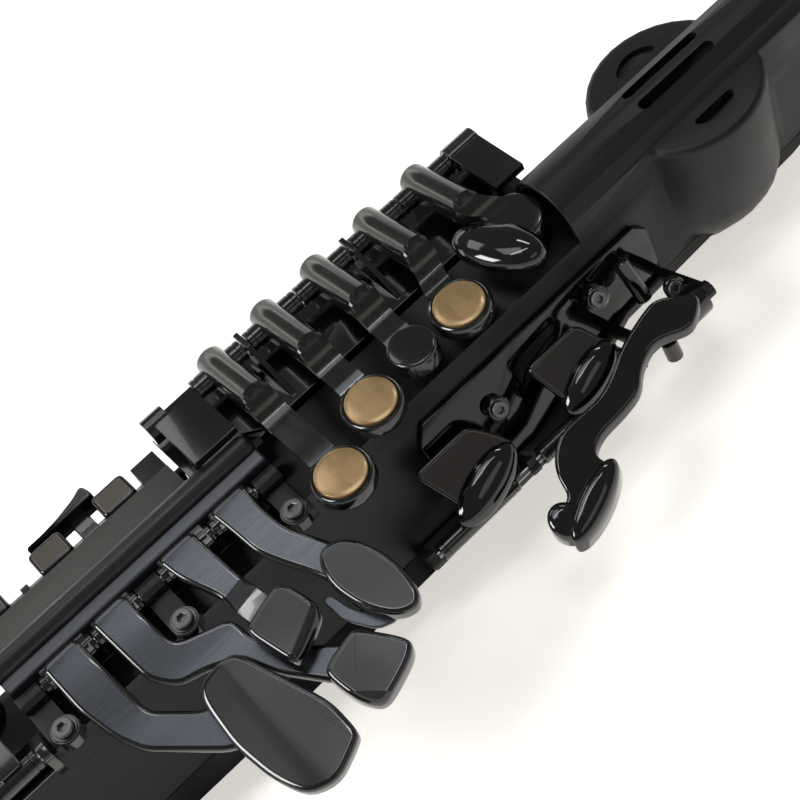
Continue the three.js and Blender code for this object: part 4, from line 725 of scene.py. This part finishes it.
def button_piece(name, x, y, radius, low, high):
    edge = 1.1
    profile = [(radius - 0.8, low), (radius, low + 0.8), (radius, high - edge)]
    for step in range(1, 5):
        turn = math.pi / 2 * step / 4
        profile.append((radius - edge + edge * math.cos(turn), high - edge + edge * math.sin(turn)))
    profile += [(radius * 0.6, high + 0.12), (radius * 0.2, high + 0.2)]
    button = turned(name + "_button", profile, (x, y, 0), sides=56)
    dress(button, "key_lacquer", smooth=40)
    return button


petal_x, petal_y, petal_z = -86.3, -2.3, 73.4
petal_rises = [
    (0.94, -2.6), (1, -1.8), (1, -0.2), (0.975, 0.8), (0.92, 1.8),
    (0.83, 2.7), (0.7, 3.5), (0.54, 4.1), (0.36, 4.45), (0.18, 4.6),
]


def petal_piece():
    """A long oval dome, leaning down to the player's left, with a hollow sweep across its far side."""
    length, width = 17.0, 9.4
    turn = math.radians(24)
    rings = []
    for size, rise in petal_rises:
        ring = []
        for step in range(64):
            angle = 2 * math.pi * step / 64
            waist = 1 - 0.13 * math.exp(-(((angle - 0.35) / 0.42) ** 2))
            u, v = width * size * waist * math.cos(angle), length * size * waist * math.sin(angle)
            x = petal_x + u * math.cos(turn) - v * math.sin(turn)
            y = petal_y + u * math.sin(turn) + v * math.cos(turn)
            ring.append((x, y, petal_z + rise))
        rings.append(ring)
    petal = loft("front_f_petal", rings)
    dress(petal, "gloss_key", smooth=60)
    return petal


# Each hooped key: its arm's place, its touch's place, and its tube from end to end
hoop_table = [
    ("key_front_f", -82.8, -75.5, 2.6, (-94.1, -70.4)),
    ("key_b", -105.8, -110.3, -8.1, (-116.1, -94.5)),
    ("key_bis", -130.8, -131.8, -7.0, (-142.2, -119)),
    ("key_a", -154.1, -154.2, -12.6, (-165.4, -142.7)),
    ("key_g", -178.4, -178.3, -25.2, (-189.9, -168.2)),
]


def hoop_keys():
    for name, arm_x, touch_x, touch_y, tube in hoop_table:
        end_y = touch_y + (5 if name in ("key_front_f", "key_bis") else 9.6)
        parts = [hoop_arm(name, arm_x, touch_x, touch_y, end_y)]
        parts.append(rod_tube(name, stack_y, stack_z, stack_tube_radius, *tube))
        if name == "key_front_f":
            parts.append(button_piece(name, touch_x, touch_y, 11, 66, 73.5))
            parts.append(petal_piece())
        elif name == "key_bis":
            parts.append(button_piece(name, touch_x, touch_y - 1, 8.6, 66, 73.4))
        else:
            parts.append(repeated(cup_model, name + "_cup", (touch_x, touch_y, 0)))
            disc_piece(name.replace("key", "pearl"), touch_x, touch_y)
        for part in parts:
            stand_for(part, name)


# Little-finger table: four keys on a rod, their tops falling to the player's left
table_from_x, table_to_x = -300, -189.8
table_reach = 93
table_rod_z, table_tube_radius = 62, 3.4
table_lean = math.radians(12)
table_place = Matrix.Translation((0, 0, table_rod_z * mm)) @ Matrix.Rotation(table_lean, 4, "X")
table_keys = {
    "key_g_sharp": {
        "tube_shares": (0.7414, 0.9074),
        "strap": 1.6,
        "arm_box_shares": ((0.7623, 0.4946), (0.9982, -0.0516)),
        "arm_shares": [
            (0, 1), (0.58, 1), (0.54, 0.76), (0.58, 0.56), (0.79, 0.34), (1, 0.08),
            (0.54, 0), (0.4, 0.22), (0.21, 0.41), (0.08, 0.57), (0.05, 0.78),
        ],
        "touch_box_shares": ((0.8584, 0.7527), (1.0417, 0.3613)),
        "touch_shares": [
            (0.12, 0.91), (0.32, 1), (0.6, 0.97), (0.8, 0.85), (0.95, 0.62), (1, 0.35),
            (0.92, 0.09), (0.72, 0), (0.38, 0.08), (0.12, 0.34), (0.01, 0.66),
        ],
        "top": 9.2,
        "depth": 6.4,
    },
    "key_c_sharp": {
        "tube_shares": (0.5408, 0.7377),
        "strap": 1.6,
        "arm_box_shares": ((0.5581, 0.4086), (0.735, -0.0516)),
        "arm_shares": [(0, 1), (0.77, 1), (0.84, 0.45), (1, 0.08), (0.44, 0), (0.33, 0.45), (0.08, 0.75)],
        "touch_box_shares": ((0.5935, 0.6043), (0.8004, 0.3398)),
        "touch_shares": [
            (0.04, 0.78), (0.17, 0.86), (0.75, 1), (0.9, 0.9), (1, 0.44),
            (0.95, 0.28), (0.72, 0.16), (0.3, 0), (0.2, 0.08),
        ],
        "top": 9.2,
        "depth": 5.3,
        "arm_fall": ((-228, -20.5, 0), (0.15, -1, 0), 0, 0.5),
        "touch_fall": ((-219.4, -47.6, 0), (0.44, -0.9, 0), 3, 0.8),
    },
    "key_low_b": {
        "tube_shares": (0.2849, 0.4537),
        "strap": -0.4,
        "arm_box_shares": ((0.2995, 0.7849), (0.8167, -0.0516)),
        "arm_shares": [
            (0, 1), (0.25, 1), (0.26, 0.74), (0.28, 0.68), (0.59, 0.6), (0.6, 0.48), (0.68, 0.37),
            (1, 0.14), (0.84, 0), (0.56, 0.29), (0.47, 0.45), (0.28, 0.51), (0.13, 0.54), (0.03, 0.64),
            (0.02, 0.72),
        ],
        "touch_box_shares": ((0.6733, 0.9097), (0.9093, 0.6495)),
        "touch_shares": [
            (0.01, 0.8), (0.12, 0.9), (0.56, 1), (0.66, 0.97), (0.97, 0.46), (1, 0.3),
            (0.84, 0.17), (0.35, 0), (0.2, 0.05), (0.06, 0.31),
        ],
        "top": 10.3,
        "depth": 8,
        "touch_fall": ((-221.5, -76.5, 0), (-0.715, -0.69, 0), 0, 0.8),
    },
    "key_low_b_flat": {
        "tube_shares": (0.0871, 0.2813),
        "strap": -0.4,
        "arm_box_shares": ((0.1152, 0.6882), (0.49, -0.0516)),
        "arm_shares": [
            (0, 1), (0.35, 1), (0.38, 0.5), (0.68, 0.32), (1, 0.26),
            (0.95, 0), (0.62, 0.09), (0.16, 0.37), (0.06, 0.51), (0, 0.7),
        ],
        "touch_box_shares": ((0.3648, 1), (0.6388, 0.4108)),
        "touch_shares": [
            (0.13, 0.97), (0.25, 1), (0.58, 1), (0.68, 0.94), (1, 0.38), (0.99, 0.15), (0.93, 0.11),
            (0.52, 0.02), (0.2, 0.09), (0.06, 0.3), (0, 0.59), (0.06, 0.88),
        ],
        "top": 10.3,
        "depth": 6,
        "touch_fall": ((-247, -60, 0), (-1, 0.03, 0), 0, 0.2),
    },
}


def table_x(share):
    return table_from_x + (table_to_x - table_from_x) * share


def table_outline(box, shares):
    low, high = [(table_x(along), -table_reach * out) for along, out in box]
    return in_box(low, high, shares)


root_from_y, root_to_y, root_cuts = -38, 3, 9
root_top, root_strip_y, root_strip_slope = 4.1, 1.7, 0.22


def table_arm(name, key):
    outline = soften(table_outline(key["arm_box_shares"], key["arm_shares"]), 3.4)
    low, high = key["strap"] - 2.6, key["strap"]
    arm = plate(name + "_arm", outline, rim_profile(low, high, 1.5, 0.5))
    if "arm_fall" in key:
        fall_away(arm, *key["arm_fall"], low, high)
    lift_root(arm, root_top - high)
    # The arm's top takes the grey-blue painted sheen; its sides stay black lacquer
    dress(arm, "key_lacquer", "sheen_painted_satin", smooth=24)
    arm.data.transform(table_place)
    return arm


def table_touch(name, key):
    outline = soften(table_outline(key["touch_box_shares"], key["touch_shares"]), 5.0)
    low, high = key["top"] - key["depth"], key["top"]
    touch = plate(name + "_touch", outline, rim_profile(low, high, 1.6, 0.8))
    if "touch_fall" in key:
        fall_away(touch, *key["touch_fall"], low, high)
    dress(touch, "key_lacquer", "touch_satin", smooth=24)
    touch.data.transform(table_place)
    return touch


def lift_root(arm, rise):
    """An arm's end rises over its rod, and its last strip leans back."""
    take(arm)
    bpy.ops.object.mode_set(mode="EDIT")
    for cut in range(root_cuts + 1):
        place = root_from_y + (root_to_y - root_from_y) * cut / root_cuts
        bpy.ops.mesh.select_all(action="SELECT")
        bpy.ops.mesh.bisect(plane_co=(0, place * mm, 0), plane_no=(0, 1, 0))
    bpy.ops.mesh.select_all(action="SELECT")
    bpy.ops.mesh.bisect(plane_co=(0, root_strip_y * mm, 0), plane_no=(0, 1, 0))
    bpy.ops.object.mode_set(mode="OBJECT")
    for vertex in arm.data.vertices:
        y = vertex.co.y / mm
        height = rise * glide((y - root_from_y) / (root_to_y - root_from_y))
        height -= max(y - root_strip_y, 0) * root_strip_slope
        vertex.co.z += height * mm


def table_root(name, key):
    """The block under an arm's end that holds its rod."""
    low_x, high_x = [table_x(share) for share in key["tube_shares"]]
    outline = [(-4.4, -1.2), (4, -2.2), (4.6, -1), (4.6, 2.4), (3.6, 3), (-4, 3)]
    root = bar_along_x(name + "_root", outline, low_x + 1.8, high_x - 1.2, "key_lacquer", 0.6)
    root.data.transform(table_place)
    return root


def table_strap():
    """The thin curved plate under the edge of the oval touch."""
    outline = [
        (-210, -45), (-206.6, -44.6), (-205.2, -53), (-200.6, -60.5), (-195.5, -63.6), (-197.5, -66.4),
        (-203.8, -63.8), (-208.8, -55),
    ]
    strap = plate("table_strap", soften(outline, 2.5), rim_profile(1.4, 3, 0.4, 0.3))
    # The strap takes the grey-blue painted sheen all over
    dress(strap, "sheen_painted_satin", smooth=30)
    strap.data.transform(table_place)
    stand_for(strap, "key_g_sharp")


def table_key_pieces():
    for name, key in table_keys.items():
        low_x, high_x = [table_x(share) for share in key["tube_shares"]]
        parts = [table_arm(name, key), table_touch(name, key), table_root(name, key)]
        parts.append(rod_tube(name, 0, table_rod_z, table_tube_radius, low_x, high_x))
        for part in parts:
            stand_for(part, name)


# Palm keys: facets that lean down to the player's left and end in long oval domes
palm_lean = math.atan(0.795)
palm_inner_y, palm_inner_z = -27.8, 47
palm_rod_y, palm_rod_z, palm_tube_radius = -44.5, 27.5, 3.4
facet_reach = 21
palm_shares = {
    "key_palm_d": (
        (-159.2, -127.2),
        [
            (0, 1), (0.77, 1), (0.98, 0.62), (1, 0.5), (0.94, 0.31), (0.8, 0.14),
            (0.64, 0.06), (0.32, 0), (0.14, 0.08), (0.16, 0.34),
        ],
    ),
    "key_palm_e_flat": (
        (-107.1, -77.4),
        [
            (0, 1), (0.8, 1), (0.91, 0.65), (1, 0.4), (0.93, 0.28), (0.71, 0.12),
            (0.37, 0.06), (0.2, 0.14), (0.1, 0.42),
        ],
    ),
}
dome_rises = [
    (0.9, -3.6), (0.98, -2.8), (1, -1), (1, 0.5), (0.985, 0.85), (0.95, 1.3),
    (0.88, 2), (0.78, 2.65), (0.64, 3.25), (0.48, 3.7), (0.3, 4), (0.14, 4.1),
]


def on_palm(x, y, height):
    run = y - palm_inner_y
    return (
        x,
        y - height * math.sin(palm_lean),
        palm_inner_z + run * math.tan(palm_lean) + height * math.cos(palm_lean),
    )


def dome(name, centre, halves, degrees, place, rises, lift=1.0):
    """A turned oval on a slanted plane, drawn in ring by ring as it rises."""
    turn = math.radians(degrees)
    rings = []
    for size, rise in rises:
        ring = []
        for step in range(56):
            angle = 2 * math.pi * step / 56
            u, v = halves[0] * size * math.cos(angle), halves[1] * size * math.sin(angle)
            x = centre[0] + u * math.cos(turn) - v * math.sin(turn)
            y = centre[1] + u * math.sin(turn) + v * math.cos(turn)
            ring.append(place(x, y, rise * lift))
        rings.append(ring)
    piece = loft(name, rings)
    dress(piece, "gloss_key", smooth=50)
    return piece


def palm_touch(name, dome_centre, dome_halves, dome_degrees, tube, web):
    """A palm key: its facet, its dome, and the tube and web that carry them."""
    (low_x, high_x), shares = palm_shares[name]
    corners = (low_x, palm_inner_y - facet_reach), (high_x, palm_inner_y)
    outline = soften(in_box(*corners, shares), 3.5)
    facet = plate(name + "_facet", outline, rim_profile(-3.1, 0.2, 0.9, 0.6), on_palm)
    dress(facet, "gloss_key", "facet_gloss", smooth=30)
    parts = [facet, dome(name + "_dome", dome_centre, dome_halves, dome_degrees, on_palm, dome_rises)]
    parts.append(rod_tube(name, palm_rod_y, palm_rod_z, palm_tube_radius, *tube))
    web_outline = [
        (palm_rod_y - 1.7, palm_rod_z), (palm_rod_y + 1.7, palm_rod_z),
        (palm_rod_y + 4.8, palm_rod_z + 8.2), (palm_rod_y + 2, palm_rod_z + 6.8),
    ]
    parts.append(bar_along_x(name + "_web", web_outline, *web))
    for part in parts:
        stand_for(part, name)


lever_root_y, lever_root_z = -42.3, 42.7
lever_slope = 0.372
lever_pin_y, lever_pin_z = -44, 30
lever_shares = [
    (1.02, 1.06), (0.93, 1.04), (0.82, 0.99), (0.74, 0.94), (0.664, 0.86), (0.551, 0.78), (0.327, 0.8),
    (0.231, 0.693), (0.179, 0.558), (0.153, 0.352), (0.039, 0.339), (0, 0.241), (0.063, 0), (0.276, 0.156),
    (0.381, 0.267), (0.348, 0.46), (0.427, 0.542), (0.576, 0.548), (0.682, 0.579),
    (0.76, 0.712), (0.86, 0.78), (0.92, 0.76), (1.02, 0.66), (1.09, 0.7), (1.175, 0.83),
]


def on_lever(x, y, height):
    return (x, y, lever_root_z + (y - lever_root_y) * lever_slope + height)


lever_pin_radius, lever_barrel_radius = 3.4, 6.2
lever_barrel_low_x, lever_barrel_high_x = -58.5, -42.8


def lever_barrel():
    """The thick polished end of the lever's tube."""
    radius, low_x, high_x = lever_barrel_radius, lever_barrel_low_x, lever_barrel_high_x
    profile = [(radius - 0.8, low_x), (radius - 0.25, low_x + 0.2), (radius, low_x + 0.8)]
    profile += [(radius, high_x - 0.8), (radius - 0.25, high_x - 0.2), (radius - 0.8, high_x)]
    barrel = turned("palm_lever_barrel", profile, (0, lever_pin_y, lever_pin_z), "x")
    dress(barrel, "gloss_key", smooth=40)
    return barrel


def palm_lever():
    """The long curved lever past the facets, with a hood and a heel at its hooked end."""
    outline = soften(in_box((-140.4, -80.1), (-60, lever_root_y), lever_shares), 5.0)
    lever = plate("palm_lever", outline, rim_profile(-4.8, 0, 1.3, 0.8), on_lever)
    dress(lever, "gloss_key", "lever_satin", smooth=30)
    hood_rises = [
        (0.9, -6.2), (1, -5.4), (1, 0.6), (0.97, 1.5), (0.86, 2.3), (0.66, 2.9), (0.4, 3.2), (0.2, 3.3),
    ]
    hood = dome("palm_lever_hood", (-123.4, -73.2), (15.4, 4.6), 18.4, on_lever, hood_rises)
    heel = dome("palm_lever_heel", (-134.6, -71.6), (5.8, 6.2), 18.4, on_lever, hood_rises, 0.8)
    web_outline = [(-47.4, lever_pin_z), (-42.3, lever_pin_z), (-42.3, 38.5), (-47.4, 36.4)]
    web = bar_along_x("palm_lever_web", web_outline, -66, -60)
    barrel = lever_barrel()
    tube = rod_tube("palm_lever", lever_pin_y, lever_pin_z, lever_pin_radius, -65.9, -42.1)
    for part in (lever, hood, heel, web, barrel, tube):
        stand_for(part, "key_palm_f")


# Bosses, screws and the polished post on the palm plate
flank_out = (0, -0.852, 0.522)
flank_down = (0, -0.523, -0.852)


def post_piece(name, radius, length, place, direction):
    profile = [(radius - 0.5, 0), (radius, 0.5), (radius, length - 0.5)]
    profile += [(radius - 0.5, length), (radius - 1.1, length)]
    post = turned(name, profile, (0, 0, 0), sides=40)
    dress(post, "gloss_key", smooth=30)
    post.data.transform(aim(place, direction))
    add_piece(post, "body")


def palm_fittings():
    post_piece("palm_boss_upper", 4.2, 4.2, (-69.8, -22.0, 42.6), flank_out)
    post_piece("palm_boss_lower", 4.2, 4.2, (-120.9, -24.5, 38.6), flank_out)
    post_piece("palm_post", 2.9, 17.4, (-55.8, -21.6, 46.2), flank_down)
    post_piece("palm_boss_end", 3.7, 3.4, (-45.4, -32.4, 29.2), flank_out)
    post_piece("palm_stub", 3.0, 8.6, (-61.2, -45.0, 25.4), (0, -0.2, -1))


# Side keys: low blocks with a rounded rim, and a fin
side_half = 7
side_rod_y, side_rod_z, side_tube_radius = 39, 54.5, 2.9


def side_touch_model():
    outline = soften([(-side_half, 36.2), (side_half, 36.2), (side_half, 47.1), (-side_half, 47.1)], 2.4)
    touch = plate("side_touch_model", outline, rim_profile(54.2, 59.9, 1.2, 0.6))
    # The top takes the olive-brown painted reflection; the sides stay black lacquer
    dress(touch, "key_lacquer", "side_top_painted_reflection", smooth=30)
    return touch


def side_key(name, x):
    stand_for(repeated(side_touch_model, name + "_touch", (x, 0, 0)), name)
    ends = (x - side_half, x + side_half)
    stand_for(rod_tube(name, side_rod_y, side_rod_z, side_tube_radius, *ends), name)


def side_keys_shade_sheet():
    """A dark sheet under the side keys that stands in for the dark mechanism and the shade seen through the
    gaps.
    """
    outline = [(35.9, 46.6), (45.6, 46.6), (45.6, 48.2), (35.9, 48.2)]
    floor = bar_along_x("side_shade_sheet", outline, -298, -212, "key_lacquer", 0.4)
    add_piece(floor, "body")


def fin_key():
    shares = [(0, 0), (1, 0), (1, 0.3), (0.96, 1), (0.8, 0.66), (0.5, 0.36), (0.2, 0.22), (0, 0.16)]
    outline = soften(in_box((-266, 49.5), (-237.5, 56), shares), 2.2)
    fin = plate("high_f_sharp_fin", outline, rim_profile(49.5, 58.5, 0.7, 0.5))
    dress(fin, "key_lacquer", "touch_satin", smooth=30)
    arm_outline = [(39, 51.6), (50.5, 51.6), (50.5, 54.4), (39, 54.4)]
    arm = bar_along_x("high_f_sharp_arm", arm_outline, -250, -243)
    tube = rod_tube("high_f_sharp", side_rod_y, side_rod_z, side_tube_radius, -250, -243)
    for part in (fin, arm, tube):
        stand_for(part, "key_high_f_sharp")


# Right-hand stack
low_stack = (("key_f", -314), ("key_e", -337), ("key_d", -360))
low_rod_y, low_rod_z, low_tube_radius = -18, 61, 3.4
low_cup_y, low_cup_lift = 7, -4.6
low_arm_outline = [(-18, 61), (-14.6, 61), (-11.2, 63.6), (-2, 63.6), (-2, 66.2), (-18, 66.2)]


def low_keys():
    for name, x in low_stack:
        parts = [bar_along_x(name + "_arm", low_arm_outline, x - 4, x + 4, "arm_lacquer")]
        parts.append(rod_tube(name, low_rod_y, low_rod_z, low_tube_radius, x - 9, x + 9))
        parts.append(repeated(cup_model, name + "_cup", (x, low_cup_y, low_cup_lift)))
        for part in parts:
            stand_for(part, name)
        disc_piece(name.replace("key", "pearl"), x, low_cup_y, low_cup_lift)


# Screws, and the bosses under those of the table
table_screws = [
    ("table_screw_upper", (-195.3, -14.5, 60.2), (0, 0, 1), 1.35),
    ("table_screw_middle", (-244.6, -16.3, 60.2), (0, 0, 1), 1.35),
    ("table_screw_lower", (-294, -15.5, 60.2), (0, 0, 1), 1.35),
]
palm_screws = [
    ("palm_screw_upper", (-70.9, -26.2, 45.2), flank_out, 1.15),
    ("palm_screw_lower", (-121.6, -28.5, 41.3), flank_out, 1.15),
    ("palm_screw_end", (-46.4, -35.4, 31.3), flank_out, 1.1),
]


def boss_model():
    profile = [(4.9, 0), (5.4, 0.5), (5.4, 4.7), (4.9, 5.2), (4.3, 5.2)]
    boss = turned("boss_model", profile, (0, 0, 0), sides=40)
    dress(boss, "key_lacquer", smooth=30)
    return boss


def table_screw_bosses():
    for screw in table_screws:
        name, (x, y, z) = screw[:2]
        add_piece(repeated(boss_model, name + "_boss", (x, y, z - 5.7)), "body")


# Nodes that keep their shape, and how widely their corners are rounded
rounded_edges = {
    "front_shell": 0,
    "back_shell": 0,
    "palm_plate": 0.4,
    "bell": 0,
    "neck_tube": 0,
    "mouthpiece": 0,
    "reed": 0.2,
    "ligature": 0.3,
    "upper_stack_rod": 0.2,
    "table_bracket": 0.3,
    "table_rod": 0.2,
    "side_bracket": 0.3,
    "side_rod": 0.2,
    "palm_bracket": 0.3,
    "palm_rod": 0.2,
    "lower_stack_rod": 0.2,
    "lower_stack_rail": 0.3,
    "key_low_e_flat": 0.5,
    "key_low_c": 0.5,
    "thumb_rest": 0.4,
    "key_octave": 0.4,
    "thumb_stick": 0.4,
    "control_panel": 0.3,
    "power_button": 0.3,
    "select_button": 0.3,
    "volume_dial": 0.3,
    "strap_ring": 0.5,
    "thumb_hook": 0.5,
    "battery_pack": 0.2,
    "battery_cover": 0.3,
    "main_board": 0.2,
    "speaker_driver": 0.2,
}

# The finished pieces
for node, width in rounded_edges.items():
    rounded_copy(node, width)
# The deck takes the grey painted sheen
rounded_copy("side_key_deck", 0.4, "deck_painted_sheen")
rounded_copy("upper_stack_rail", 0.35, smooth=16)
ridge_rail()
ridge_bead()
hoop_keys()
table_key_pieces()
table_strap()
palm_touch("key_palm_d", (-142.6, -42.6), (15.8, 5.7), 11, (-168.9, -134.1), (-148, -137))
palm_touch("key_palm_e_flat", (-91.8, -41.0), (14.4, 5.2), 11, (-121.9, -78.1), (-97, -87))
palm_lever()
palm_fittings()
for name, x in (("key_side_e", -233), ("key_side_c", -261), ("key_side_b_flat", -289)):
    side_key(name, x)
# A dark sheet that stands for the shade between the side keys
side_keys_shade_sheet()
fin_key()
low_keys()
table_screw_bosses()
add_screws(table_screws + palm_screws)

# The shapes that were only copied are taken out
for model in models.values():
    bpy.data.objects.remove(model)

# Floor, lights and world
sky_light = 0.17
floor_color, glow_color = (0.88, 0.86, 0.82), (1, 0.965, 0.91)
floor_glow = 0.6
band_low, band_high = 0.22, 0.32
studio_middle = (-0.2, 0, 0.05)


def background_rays(nodes):
    """One where a ray from the camera, a glossy face or a clear one meets the background."""
    path = nodes.new("ShaderNodeLightPath")
    seen = math_node(nodes, "MAXIMUM")
    most = math_node(nodes, "MAXIMUM")
    join(path, "Is Camera Ray", seen, 0)
    join(path, "Is Glossy Ray", seen, 1)
    join(seen, "Value", most, 0)
    join(path, "Is Transmission Ray", most, 1)
    return most


def set_floor():
    bpy.ops.mesh.primitive_plane_add(size=8, location=(0, 0, -0.2 * mm))
    floor = bpy.context.active_object
    floor.name = "floor"
    material = bpy.data.materials.new("pale_floor")
    material.use_nodes = True
    nodes = material.node_tree.nodes
    shader = nodes["Principled BSDF"]
    shader.inputs["Base Color"].default_value = (*floor_color, 1)
    shader.inputs["Roughness"].default_value = 0.9
    shader.inputs["Specular IOR Level"].default_value = 0.1
    glow = nodes.new("ShaderNodeEmission")
    glow.inputs["Color"].default_value = (*glow_color, 1)
    glow.inputs["Strength"].default_value = floor_glow
    both = nodes.new("ShaderNodeAddShader")
    pick = nodes.new("ShaderNodeMixShader")
    join(shader, "BSDF", both, 0)
    join(glow, "Emission", both, 1)
    join(background_rays(nodes), "Value", pick, "Fac")
    join(shader, "BSDF", pick, 1)
    join(both, "Shader", pick, 2)
    join(pick, "Shader", nodes["Material Output"], "Surface")
    floor.data.materials.append(material)


def add_lamp(name, place, size, power, color=(1, 1, 1), target=studio_middle):
    data = bpy.data.lights.new(name, "AREA")
    data.shape = "RECTANGLE"
    data.size, data.size_y = size
    data.energy = power
    data.color = color
    lamp = bpy.data.objects.new(name, data)
    bpy.context.scene.collection.objects.link(lamp)
    lamp.location = place
    toward = Vector(target) - Vector(place)
    lamp.rotation_euler = toward.to_track_quat("-Z", "Y").to_euler()


def background_node(nodes, strength):
    node = nodes.new("ShaderNodeBackground")
    node.inputs["Color"].default_value = (1, 1, 1, 1)
    node.inputs["Strength"].default_value = strength
    return node


def set_world():
    """A dim even sky, with the white background behind the floor, which polished faces show low down."""
    world = bpy.data.worlds.new("studio")
    world.use_nodes = True
    nodes = world.node_tree.nodes
    sky = background_node(nodes, sky_light)
    white = background_node(nodes, 1)
    direction = nodes.new("ShaderNodeTexCoord")
    axes = nodes.new("ShaderNodeSeparateXYZ")
    band = range_node(nodes, band_low, band_high, 1, 0)
    mirrored = math_node(nodes, "MULTIPLY")
    path = nodes.new("ShaderNodeLightPath")
    shown = math_node(nodes, "MAXIMUM")
    pick = nodes.new("ShaderNodeMixShader")
    join(direction, "Generated", axes, "Vector")
    join(axes, "Z", band, "Value")
    join(band, "Result", mirrored, 0)
    join(background_rays(nodes), "Value", mirrored, 1)
    join(mirrored, "Value", shown, 0)
    join(path, "Is Camera Ray", shown, 1)
    join(shown, "Value", pick, "Fac")
    join(sky, "Background", pick, 1)
    join(white, "Background", pick, 2)
    join(pick, "Shader", nodes["World Output"], "Surface")
    bpy.context.scene.world = world


set_floor()
set_camera()
set_world()
add_lamp("left_softbox", (-1.0, 0.15, 0.8), (0.5, 0.4), 9.0)
add_lamp("overhead_patch", (-0.1, 0.13, 1.1), (0.4, 0.4), 1.05, (0.9, 0.95, 1))
add_lamp("overhead_strip", (0.0, 0.0, 1.1), (0.6, 0.035), 0.75, target=(0, 0, 0))
add_lamp("far_patch", (-0.32, 0.72, 1.0), (0.5, 0.3), 1.1, (1, 0.98, 0.95))
add_lamp("back_panel", (-0.3, 1.15, 0.42), (1.5, 0.12), 1.0, (1, 0.97, 0.88))
add_lamp("right_streak", (0.42, 0.28, 0.9), (0.3, 0.05), 0.6)
add_lamp("front_fill", (0.1, -0.7, 0.85), (0.6, 0.25), 0.36, (1, 0.88, 0.78))

# Plain colours
bpy.context.scene.view_settings.view_transform = "Standard"
